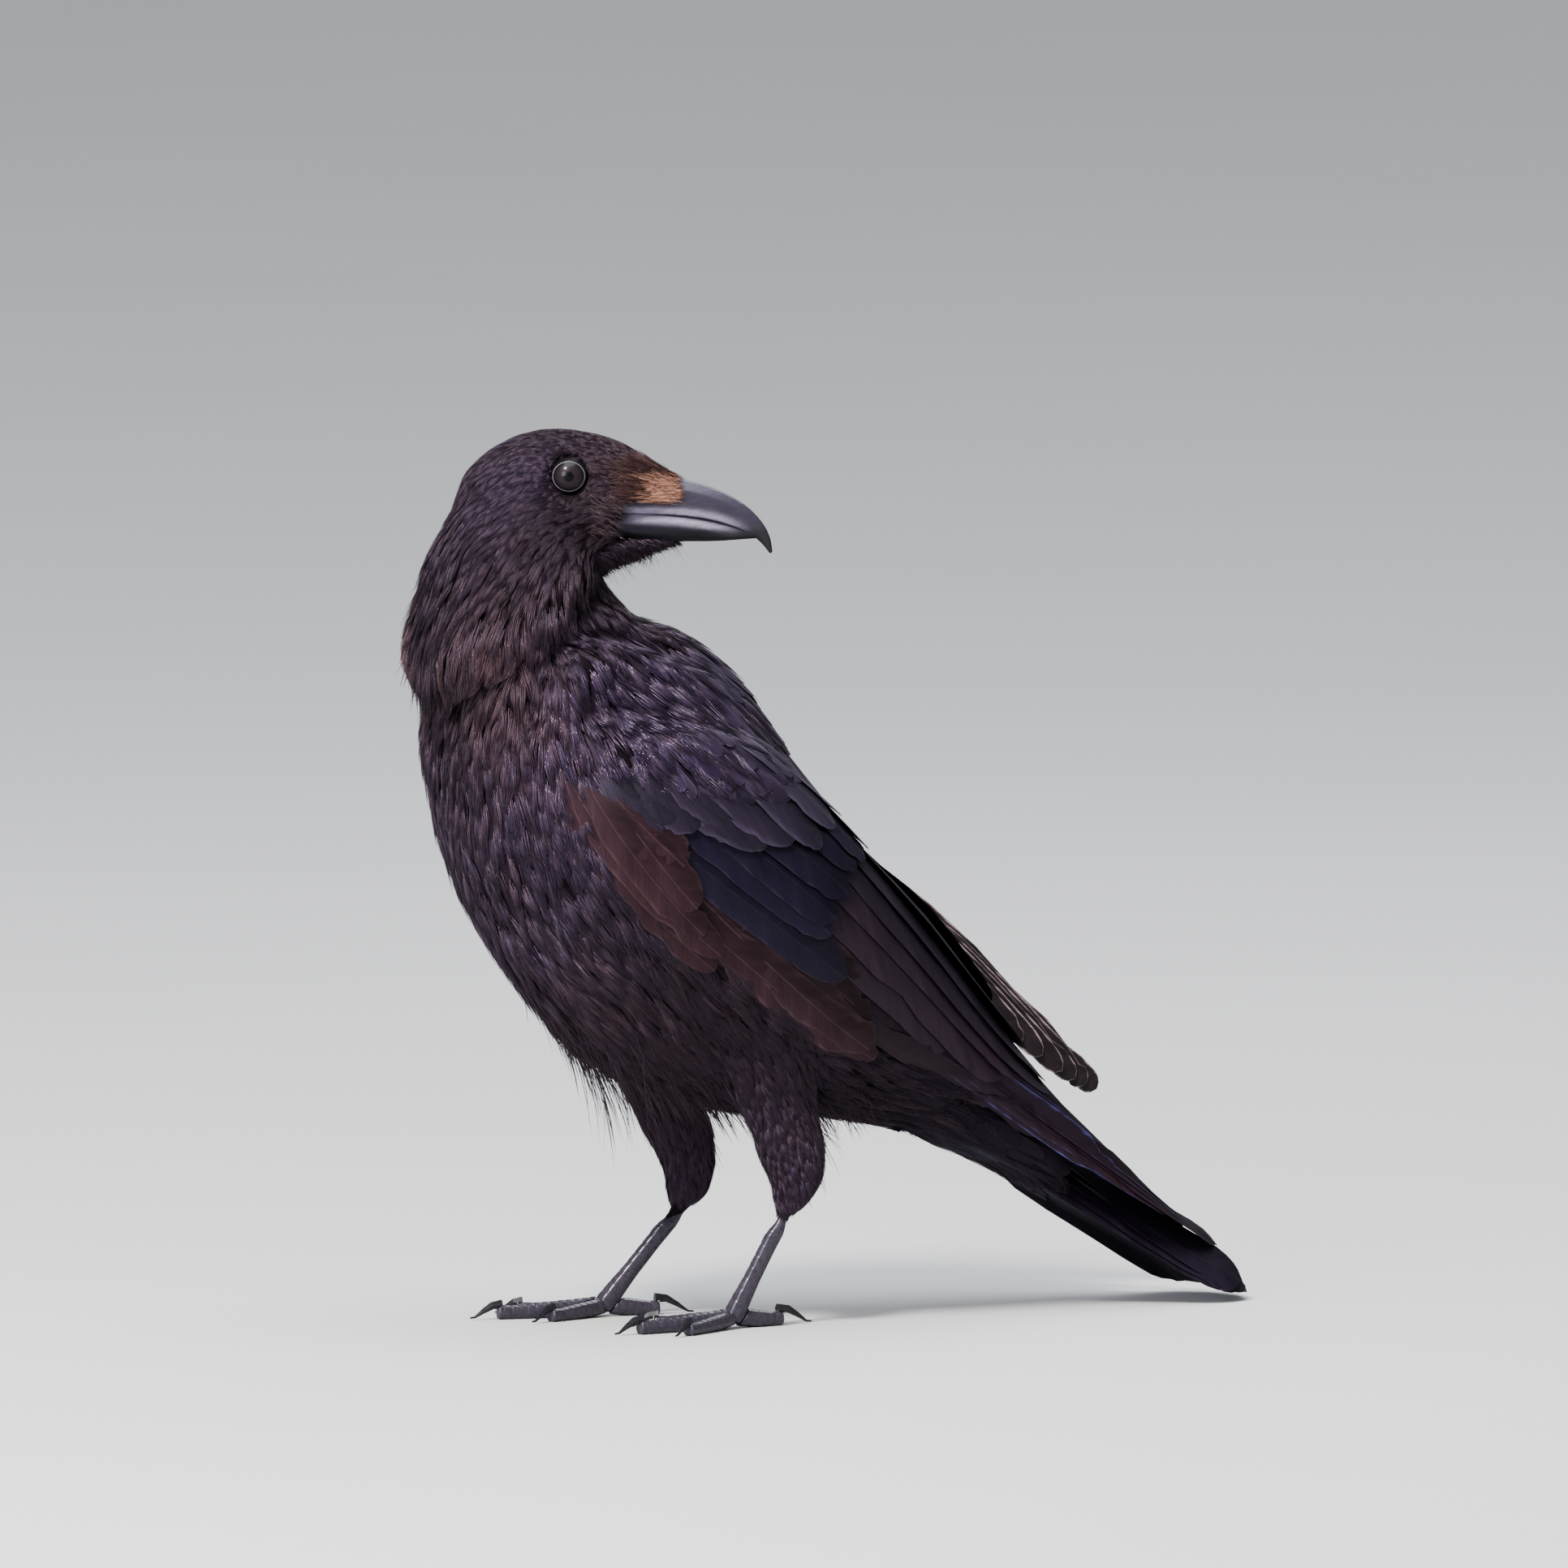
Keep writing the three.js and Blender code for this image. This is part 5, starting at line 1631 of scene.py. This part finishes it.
def noise_at(tree, where, scale, detail, roughness=0.5):
    """Soft noise between 0 and 1."""
    return add(tree, "TexNoise", {"Vector": where, "Scale": scale, "Detail": detail,
                                  "Roughness": roughness}).outputs[0]


def share_between(tree, value, start, end):
    """Where a value lies between a start, 0, and an end, 1."""
    return add(tree, "MapRange", {"Value": value, "From Min": start, "From Max": end}).outputs[0]


def bump(tree, shader, strength, distance, height):
    """Feeds the shader's normal from a height."""
    node = add(tree, "Bump", {"Strength": strength, "Distance": distance, "Height": height})
    tree.links.new(node.outputs[0], shader.inputs["Normal"])


def ramp(tree, factor, *stops):
    """Greys at places along a ramp."""
    node = add(tree, "ValToRGB", {0: factor})
    bar = node.color_ramp
    while len(bar.elements) < len(stops):
        bar.elements.new(0.5)
    for element, (position, grey) in zip(bar.elements, stops):
        element.position = position
        element.color = (grey, grey, grey, 1)
    return node.outputs[0]


def new_group(name, inputs, outputs):
    """A node group of plain numbers: names and first values of its inputs, names of its outputs."""
    group = bpy.data.node_groups.new(name, "ShaderNodeTree")
    for title, value in inputs:
        socket = group.interface.new_socket(name=title, in_out="INPUT", socket_type="NodeSocketFloat")
        socket.default_value = value
    for title in outputs:
        group.interface.new_socket(name=title, in_out="OUTPUT", socket_type="NodeSocketFloat")
    return group, group.nodes.new("NodeGroupInput"), group.nodes.new("NodeGroupOutput")


# The shaft fades between these distances from the vane's middle, in centimetres.
SHAFT_EDGE = (0.010, 0.024)


def barb_group():
    """Fine barbs that leave the shaft at a slant, from the vane's own map in centimetres."""
    group, inside, out = new_group(
        "barbs", [("Barbs per cm", 11.0), ("Slant", 1.3), ("Edge From", 0.72)],
        ["Lines", "Mottle", "Shaft", "Edge", "Lower Web"])
    per_cm, slant, edge_from = inside.outputs[0], inside.outputs[1], inside.outputs[2]
    split = add(group, "SeparateXYZ", {0: add(group, "UVMap", uv_map="Vane").outputs[0]})
    across, along = split.outputs[0], split.outputs[1]
    away = maths(group, "ABSOLUTE", across)
    slanted = maths(group, "SUBTRACT", along, multiply(group, away, slant))
    fine_place = add(group, "CombineXYZ", {0: multiply(group, slanted, per_cm),
                                           1: multiply(group, away, 1.6),
                                           2: multiply(group, maths(group, "SIGN", across), 3.0)})
    fine = noise_at(group, fine_place.outputs[0], 1.0, 2.0, 0.6)
    broad_place = add(group, "CombineXYZ", {0: multiply(group, slanted, 1.3),
                                            1: multiply(group, away, 0.8)})
    broad = noise_at(group, broad_place.outputs[0], 1.0, 3.0)
    shaft = add(group, "MapRange", {"Value": away, "From Min": SHAFT_EDGE[0], "From Max": SHAFT_EDGE[1],
                                    "To Min": 1.0, "To Max": 0.0}).outputs[0]
    rim = add(group, "Attribute", attribute_name="rim").outputs["Fac"]
    uneven_rim = maths(group, "ADD", rim, scaled_and_moved(group, broad, 0.4, -0.2))
    edge = share_between(group, uneven_rim, edge_from, 1.0)
    lower = share_between(group, across, -0.45, 0.75)
    for index, value in enumerate((fine, broad, shaft, edge, lower)):
        group.links.new(value, out.inputs[index])
    return group


BARBS = barb_group()


def finish(name):
    """A new finish, its nodes and its shader."""
    material = bpy.data.materials.new(name)
    material.use_nodes = True
    tree = material.node_tree
    shader = tree.nodes["Principled BSDF"]
    return material, tree, shader


def set_values(shader, **values):
    """Sets the shader's own sockets. Colours may leave out their fourth number."""
    for key, value in values.items():
        shader.inputs[key.replace("_", " ")].default_value = rgba(value)


DARKEST_SHADE = 0.15


def tint_channels(tree):
    """Brown, gloss and light from the tint of each feather."""
    tint = add(tree, "Attribute", attribute_name="tint")
    return add(tree, "SeparateColor", {0: tint.outputs[0]}).outputs[:3]


def feather_finish(name, black, gloss_black, brown, lines, roughness, strength, barbs_per_cm=11.0,
                   slant=1.3, shaft_colour=(0.02, 0.016, 0.02), edge_colour=(0.02, 0.014, 0.016),
                   shaft=0.5, edge=0.4, edge_from=0.72, uneven=0.44, mottle=0.9, fade=0.0, **values):
    """Black feathers with brown and gloss from the tint, a paler shaft and edges of another colour, which
    the
    gloss scales: a painted highlight line on the primaries, painted sheen on the contour vanes and coverts,
    and a paler edge from wear on the secondaries and primary coverts. Where gloss_black is the lighter, the
    gloss paints sheen. Lines, mottle and uneven say how far the barbs, the blotches and the tint's light
    change the shade, and strength how deep the barbs look; the tint's light carries painted shade and
    highlight. Fade is painted shade: it darkens the web that lies next to the feather above."""
    material, tree, shader = finish(name)
    brown_share, gloss_share, light = tint_channels(tree)
    barbs = add(tree, "Group", node_tree=BARBS)
    for key, value in (("Barbs per cm", barbs_per_cm), ("Slant", slant), ("Edge From", edge_from)):
        barbs.inputs[key].default_value = value
    fine, broad, on_shaft, on_edge, lower_web = barbs.outputs
    # Gloss mixes in gloss_black, which on the body plumage, the underlayer, the contour vanes and the
    # coverts is a lighter purple: painted sheen.
    base = mix(tree, gloss_share, black, gloss_black)
    base = mix(tree, brown_share, base, brown)
    # The edge colour, scaled by gloss, is painted sheen on the contour vanes and coverts and a painted
    # highlight line on the primaries.
    base = mix(tree, multiply(tree, multiply(tree, on_edge, edge), gloss_share), base, edge_colour)
    base = mix(tree, multiply(tree, on_shaft, shaft), base, shaft_colour)
    # The tint's light paints shade and highlight into the colour. Besides a random tone, it adds painted
    # shade in hollows and where gloss is low, and painted highlight on folds and where gloss is high.
    shade = maths(tree, "MAXIMUM", scaled_and_moved(tree, light, uneven, 1 - uneven / 2), DARKEST_SHADE)
    # Fade paints shade on the web that lies next to the feather above.
    for value, amount, most in ((fine, lines, 1 - lines / 2), (broad, mottle, 1 - mottle / 2),
                                (lower_web, fade, 1 - fade * 0.6)):
        shade = multiply(tree, shade, scaled_and_moved(tree, value, amount, most))
    shade_colour = add(tree, "CombineColor", {0: shade, 1: shade, 2: shade})
    base = mix(tree, 1.0, base, shade_colour.outputs[0], "MULTIPLY")
    tree.links.new(base, shader.inputs["Base Color"])
    rough = scaled_and_moved(tree, broad, 0.24, roughness - 0.12)
    hollow = scaled_and_moved(tree, light, -0.15, 0.075)
    tree.links.new(maths(tree, "ADD", rough, hollow), shader.inputs["Roughness"])
    bump(tree, shader, strength, distance=0.3 * MM, height=fine)
    set_values(shader, **values)
    return material


# On the body's feathers gloss_black is a lighter purple than black, which paints their sheen.
PLUMAGE = feather_finish(
    "soft_plumage", black=(0.0074, 0.0042, 0.0064), gloss_black=(0.0190, 0.0128, 0.0265),
    brown=(0.066, 0.034, 0.032), lines=0.9, roughness=0.41, strength=0.7, barbs_per_cm=5.0, slant=5.0,
    shaft=0.0, edge=0.0, uneven=0.34, Sheen_Weight=0.05, Sheen_Roughness=0.4,
    Sheen_Tint=(0.78, 0.52, 0.86), Specular_Tint=(0.98, 0.72, 0.97))
DOWN = feather_finish(
    "soft_underlayer", black=(0.0075, 0.0044, 0.0068), gloss_black=(0.0100, 0.0072, 0.0130),
    brown=(0.036, 0.018, 0.019), lines=0.9, roughness=0.62, strength=0.7, barbs_per_cm=5.0, slant=5.0,
    shaft=0.0, edge=0.0, uneven=0.34, Specular_IOR_Level=0.12, Specular_Tint=(0.95, 0.65, 0.95))
# The contour vanes' lilac edge colour is painted sheen along their rims.
VANES = feather_finish(
    "contour_plumage", black=(0.0068, 0.0042, 0.0072), gloss_black=(0.0125, 0.0084, 0.0195),
    brown=(0.030, 0.015, 0.016), lines=0.8, roughness=0.46, strength=0.8, barbs_per_cm=6.0, slant=3.5,
    shaft=0.12, edge_colour=(0.034, 0.024, 0.044), edge=0.6, edge_from=0.60, Specular_IOR_Level=0.26,
    Sheen_Weight=0.04, Sheen_Roughness=0.4, Sheen_Tint=(0.72, 0.56, 0.95),
    Specular_Tint=(0.90, 0.66, 1.0))
# Fade in this finish and those below is painted shade on the web next to the feather above.
FLIGHT = feather_finish(
    "dark_flight_feathers", black=(0.0080, 0.0044, 0.0080), gloss_black=(0.0038, 0.0028, 0.0095),
    brown=(0.020, 0.0095, 0.0120), lines=0.6, roughness=0.42, strength=0.30, shaft=0.35, edge=0.35,
    edge_from=0.88, mottle=1.3, fade=0.8, Specular_IOR_Level=0.32, Specular_Tint=(0.85, 0.72, 1.0))
# The blue edge colour paints a highlight line along the primaries.
PRIMARY = feather_finish(
    "long_flight_feathers", black=(0.0070, 0.0036, 0.0062), gloss_black=(0.0038, 0.0026, 0.0100),
    brown=(0.017, 0.0070, 0.0085), lines=0.5, roughness=0.42, strength=0.25, shaft=0.35,
    edge_colour=(0.034, 0.036, 0.125), edge=0.9, edge_from=0.90, mottle=1.3, fade=0.7,
    Specular_IOR_Level=0.30, Specular_Tint=(0.85, 0.72, 1.0))
WORN = feather_finish(
    "worn_flight_feathers", black=(0.007, 0.0040, 0.006), gloss_black=(0.007, 0.0040, 0.008),
    brown=(0.0240, 0.0094, 0.0118), lines=0.7, roughness=0.48, strength=0.35,
    shaft_colour=(0.075, 0.042, 0.042), edge_colour=(0.042, 0.023, 0.027), shaft=0.38, edge=0.5,
    edge_from=0.82, mottle=1.4, fade=0.8, Specular_IOR_Level=0.18, Specular_Tint=(1.0, 0.74, 0.84))
GREY = feather_finish(
    "raised_flight_feathers", black=(0.007, 0.0045, 0.006), gloss_black=(0.008, 0.0052, 0.0070),
    brown=(0.012, 0.0068, 0.0075), lines=0.9, roughness=0.40, strength=0.5,
    shaft_colour=(0.02, 0.014, 0.014), edge_colour=(0.25, 0.18, 0.19), shaft=0.3, edge=0.9,
    edge_from=0.86, mottle=1.6, Specular_Tint=(1.0, 0.90, 0.98))
# The coverts' lilac edge colour is painted sheen along their rims.
COVERT = feather_finish(
    "covert_plumage", black=(0.0064, 0.0040, 0.0070), gloss_black=(0.0080, 0.0056, 0.0130),
    brown=(0.030, 0.015, 0.016), lines=0.8, roughness=0.47, strength=0.7, barbs_per_cm=8.0, slant=2.5,
    shaft=0.1, edge_colour=(0.034, 0.025, 0.043), edge=0.5, edge_from=0.72, fade=1.2,
    Specular_IOR_Level=0.30, Sheen_Weight=0.04, Sheen_Roughness=0.4, Sheen_Tint=(0.70, 0.60, 0.95),
    Specular_Tint=(0.88, 0.78, 1.0))


def skin_finish():
    """Dark down that shows only between feathers."""
    material, tree, shader = finish("dark_down")
    fluff = noise_at(tree, own_place(tree), 900.0, 3.0)
    base = mix(tree, fluff, (0.0028, 0.0015, 0.0025), (0.0070, 0.0036, 0.0058))
    tree.links.new(base, shader.inputs["Base Color"])
    bump(tree, shader, strength=0.8, distance=0.5 * MM, height=fluff)
    set_values(shader, Roughness=0.8, Specular_IOR_Level=0.05)
    return material


def bristle_finish():
    """Bristles from dark to tan, by their tint."""
    material, tree, shader = finish("tan_bristles")
    warm, pale, light = tint_channels(tree)
    tan = mix(tree, light, (0.20, 0.075, 0.036), (0.50, 0.27, 0.185))
    base = mix(tree, warm, (0.024, 0.0100, 0.0100), tan)
    base = mix(tree, pale, base, (0.13, 0.105, 0.13))
    tree.links.new(base, shader.inputs["Base Color"])
    set_values(shader, Roughness=0.55, Specular_IOR_Level=0.25, Specular_Tint=(1.0, 0.80, 0.90))
    return material


BILL_TURN = math.atan2(ALONG_BILL[1], ALONG_BILL[0])
# From this far below the head's zero to this far the bill darkens to its underside: painted shade.
BILL_UNDERSIDE = (15.5 * MM, 19 * MM)


def horn_finish():
    """Slate horn with streaks along the bill, painted shade on its underside, and a smoother strip beside
    the cutting edge that carries a painted highlight.
    """
    material, tree, shader = finish("slate_horn")
    where = own_place(tree)
    along = add(tree, "Mapping", {"Vector": where, "Rotation": (0, 0, -BILL_TURN),
                                  "Scale": (60, 900, 900)}, vector_type="POINT").outputs[0]
    streaks = noise_at(tree, along, 1.0, 4.0, 0.6)
    wear = noise_at(tree, where, 260.0, 4.0, 0.6)
    pits = add(tree, "TexVoronoi", {"Vector": where, "Scale": 700.0}).outputs[0]
    base = mix(tree, streaks, (0.015, 0.0120, 0.0205), (0.034, 0.028, 0.045))
    height_of = add(tree, "SeparateXYZ", {0: where}).outputs[2]
    # Painted shade: the bill darkens towards its underside.
    under = share_between(tree, height_of, *(HEAD_AT[2] - drop for drop in BILL_UNDERSIDE))
    base = mix(tree, under, base, (0.0045, 0.0036, 0.0048))
    # A painted highlight on the strip beside the cutting edge, which is also made a little smoother.
    painted_highlight = add(tree, "Attribute", attribute_name="edge_highlight").outputs["Fac"]
    painted_highlight = multiply(tree, painted_highlight, scaled_and_moved(tree, streaks, 1.3, 0.15))
    base = mix(tree, painted_highlight, base, (0.230, 0.195, 0.260))
    tree.links.new(base, shader.inputs["Base Color"])
    rough = scaled_and_moved(tree, wear, 0.16, 0.28)
    rough = scaled_and_moved(tree, under, 0.45, rough)
    rough = scaled_and_moved(tree, painted_highlight, -0.10, rough)
    tree.links.new(rough, shader.inputs["Roughness"])
    height = scaled_and_moved(tree, streaks, 0.7, multiply(tree, pits, 0.45))
    bump(tree, shader, strength=0.35, distance=0.15 * MM, height=height)
    set_values(shader, Specular_IOR_Level=0.62, Specular_Tint=(0.92, 0.88, 1.0))
    return material


def eye_finish():
    """Iris and pupil ringed round the line that passes through both eyes."""
    material, tree, shader = finish("eyeball")
    where = own_place(tree)
    centred = add(tree, "VectorMath", {0: where, 1: tuple(EYE_NEAR)}, operation="SUBTRACT").outputs[0]
    turned = add(tree, "VectorRotate", {"Vector": centred, "Axis": (0, 0, 1), "Angle": -BILL_TURN},
                 rotation_type="AXIS_ANGLE").outputs[0]
    flat = add(tree, "VectorMath", {0: turned, 1: (1, 0, 1)}, operation="MULTIPLY").outputs[0]
    radius = add(tree, "VectorMath", {0: flat}, operation="LENGTH").outputs["Value"]
    share = multiply(tree, radius, 1 / EYE_RADIUS)
    fibres = noise_at(tree, where, 1500.0, 2.0)
    iris = mix(tree, fibres, (0.0075, 0.0055, 0.0075), (0.0210, 0.0148, 0.0178))
    rings = ramp(tree, share, (0.24, 0), (0.31, 1), (0.58, 0.9), (0.80, 0.1))
    tree.links.new(mix(tree, rings, (0.002, 0.002, 0.002), iris), shader.inputs["Base Color"])
    set_values(shader, Roughness=0.35, Specular_IOR_Level=0.1, Coat_Weight=0.45, Coat_Roughness=0.03,
               Coat_IOR=1.34)
    return material


def plain_finish(name, dark, light, scale, roughness, **values):
    """Two colours mixed by noise, which also roughens and bumps the surface a little."""
    material, tree, shader = finish(name)
    grain = noise_at(tree, own_place(tree), scale, 4.0, 0.6)
    tree.links.new(mix(tree, grain, dark, light), shader.inputs["Base Color"])
    tree.links.new(scaled_and_moved(tree, grain, 0.15, roughness), shader.inputs["Roughness"])
    bump(tree, shader, strength=0.4, distance=0.15 * MM, height=grain)
    set_values(shader, **values)
    return material


SKIN = skin_finish()
BRISTLE = bristle_finish()
HORN = horn_finish()
EYEBALL = eye_finish()
LID = plain_finish("lid", (0.008, 0.006, 0.008), (0.022, 0.018, 0.023), 1800.0, 0.6)
BEAD = plain_finish("lid_beads", (0.12, 0.11, 0.14), (0.42, 0.39, 0.46), 900.0, 0.45)
SCALES = plain_finish("leg_scales", (0.013, 0.011, 0.0155), (0.052, 0.044, 0.060), 500.0, 0.20,
                      Specular_IOR_Level=0.7, Specular_Tint=(0.9, 0.86, 1.0))
CLAW = plain_finish("claw_horn", (0.006, 0.006, 0.008), (0.022, 0.020, 0.026), 400.0, 0.20)


def paint(obj, material):
    obj.data.materials.clear()
    obj.data.materials.append(material)


def fit(piece, material, slot_name, *nodes):
    """Gives a piece its finish and its place in the part."""
    paint(piece, material)
    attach(piece, "root")
    if nodes:
        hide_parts(*nodes)


COAT_FINISH = {"contour_vanes": VANES, "soft_feathers": DOWN}
ROW_FINISH = {"secondary": WORN, "primary_covert": WORN, "primary": PRIMARY, "median_covert": COVERT}

fit(skin, SKIN, "plumage", *FLESH)
for piece in coat:
    fit(piece, COAT_FINISH.get(piece.name.rstrip("_123456789"), PLUMAGE), "plumage")
for (row, side), pieces in wing_pieces.items():
    stands_for = [f"primaries_{SIDE_NAMES[side]}"] if row == "primary" else []
    for piece in pieces:
        fit(piece, ROW_FINISH.get(row, FLIGHT), "flight_feathers", *stands_for)
for piece in raised_pieces:
    fit(piece, GREY, "flight_feathers", "tertials_right")
for piece in tail_pieces:
    fit(piece, FLIGHT, "flight_feathers", "tail")
for piece in bristle_pieces:
    fit(piece, BRISTLE, "plumage")
fit(upper_bill, HORN, "horn", "bill_upper")
fit(lower_bill, HORN, "horn", "bill_lower")
for (ball, lid, beads), node in ((near_eye_pieces, "eye_right"), (far_eye_pieces, "eye_left")):
    fit(ball, EYEBALL, "eye", node)
    fit(lid, LID, "eye")
    fit(beads, BEAD, "eye")
for node, piece in leg_pieces.items():
    fit(piece, SCALES, "leg_scales", node)
for node, obj in NODES.items():
    if node.startswith("claw_"):
        paint(obj, CLAW)


# ---- floor, light and camera ----

FLOOR_RADIUS = 30


def floor_disc():
    """A wide pale floor, which looks darker where glossy feathers mirror it."""
    form = bmesh.new()
    bmesh.ops.create_circle(form, cap_ends=True, segments=96, radius=FLOOR_RADIUS)
    floor = linked("floor", mesh_from("floor", form))
    material, tree, shader = finish("pale_floor")
    cloud = noise_at(tree, own_place(tree), 3.0, 3.0)
    pale = mix(tree, cloud, (0.58, 0.58, 0.57), (0.62, 0.62, 0.61))
    mirrored_in_gloss = add(tree, "LightPath").outputs["Is Glossy Ray"]
    tree.links.new(mix(tree, mirrored_in_gloss, pale, (0.16, 0.16, 0.16)), shader.inputs["Base Color"])
    set_values(shader, Roughness=0.9)
    paint(floor, material)
    return floor


floor_disc()

# The camera looks at the bird's left side, a little from the front and from above.
AZIMUTH, ELEVATION = math.radians(-25), math.radians(5)
RIGHT = Vector((math.cos(AZIMUTH), math.sin(AZIMUTH), 0))
BACK = Vector((math.sin(AZIMUTH) * math.cos(ELEVATION), -math.cos(AZIMUTH) * math.cos(ELEVATION),
               math.sin(ELEVATION)))
UP = BACK.cross(RIGHT)
DISTANCE = 12.0
FRAME_WIDTH = 0.5313
AIM_RIGHT, AIM_UP = -0.0159, 0.1798
SENSOR_WIDTH = 36

camera_data = bpy.data.cameras.new("camera")
camera_data.sensor_width = SENSOR_WIDTH
camera_data.lens = SENSOR_WIDTH * DISTANCE / FRAME_WIDTH
camera_data.clip_end = 100
camera = linked("camera", camera_data)
camera.matrix_world = Matrix.Translation(RIGHT * AIM_RIGHT + UP * AIM_UP + BACK * DISTANCE) @ Matrix(
    (RIGHT, UP, BACK)).transposed().to_4x4()
bpy.context.scene.camera = camera

# Softboxes: place, size, power and colour. All look at the middle of the bird.
LIGHTS = {
    "sky": ((0.1, -0.3, 4.6), 4.0, 245, (0.86, 0.90, 1.0)),
    "key": ((-1.15, -0.75, 1.75), 0.45, 90, (1.0, 0.95, 0.90)),
    "fill": ((-2.1, -1.3, 0.85), 1.2, 42, (0.82, 0.86, 1.0)),
    "rim": ((1.0, 1.2, 1.3), 0.8, 7, (0.90, 0.92, 1.0)),
}
LOOK_AT = Vector((0, 0, 0.17))
for title, (at_point, size, power, colour) in LIGHTS.items():
    lamp = bpy.data.lights.new(title, "AREA")
    lamp.shape = "DISK"
    lamp.size = size
    lamp.energy = power
    lamp.color = colour
    holder = linked(title, lamp)
    holder.location = at_point
    holder.rotation_euler = (LOOK_AT - Vector(at_point)).to_track_quat("-Z", "Y").to_euler()

# The backdrop is brightest where it is seen directly, lights the bird evenly and stays dark in its gloss.
IN_GLOSS, SEEN_DIRECTLY, AS_LIGHT = 0.15, 0.66, 0.60
world = bpy.data.worlds.new("studio")
world.use_nodes = True
sky = world.node_tree
backdrop = sky.nodes["Background"]
backdrop.inputs[0].default_value = (0.86, 0.88, 0.92, 1)
ray = add(sky, "LightPath").outputs
seen = scaled_and_moved(sky, ray["Is Camera Ray"], SEEN_DIRECTLY, IN_GLOSS)
sky.links.new(scaled_and_moved(sky, ray["Is Diffuse Ray"], AS_LIGHT, seen), backdrop.inputs[1])
bpy.context.scene.world = world
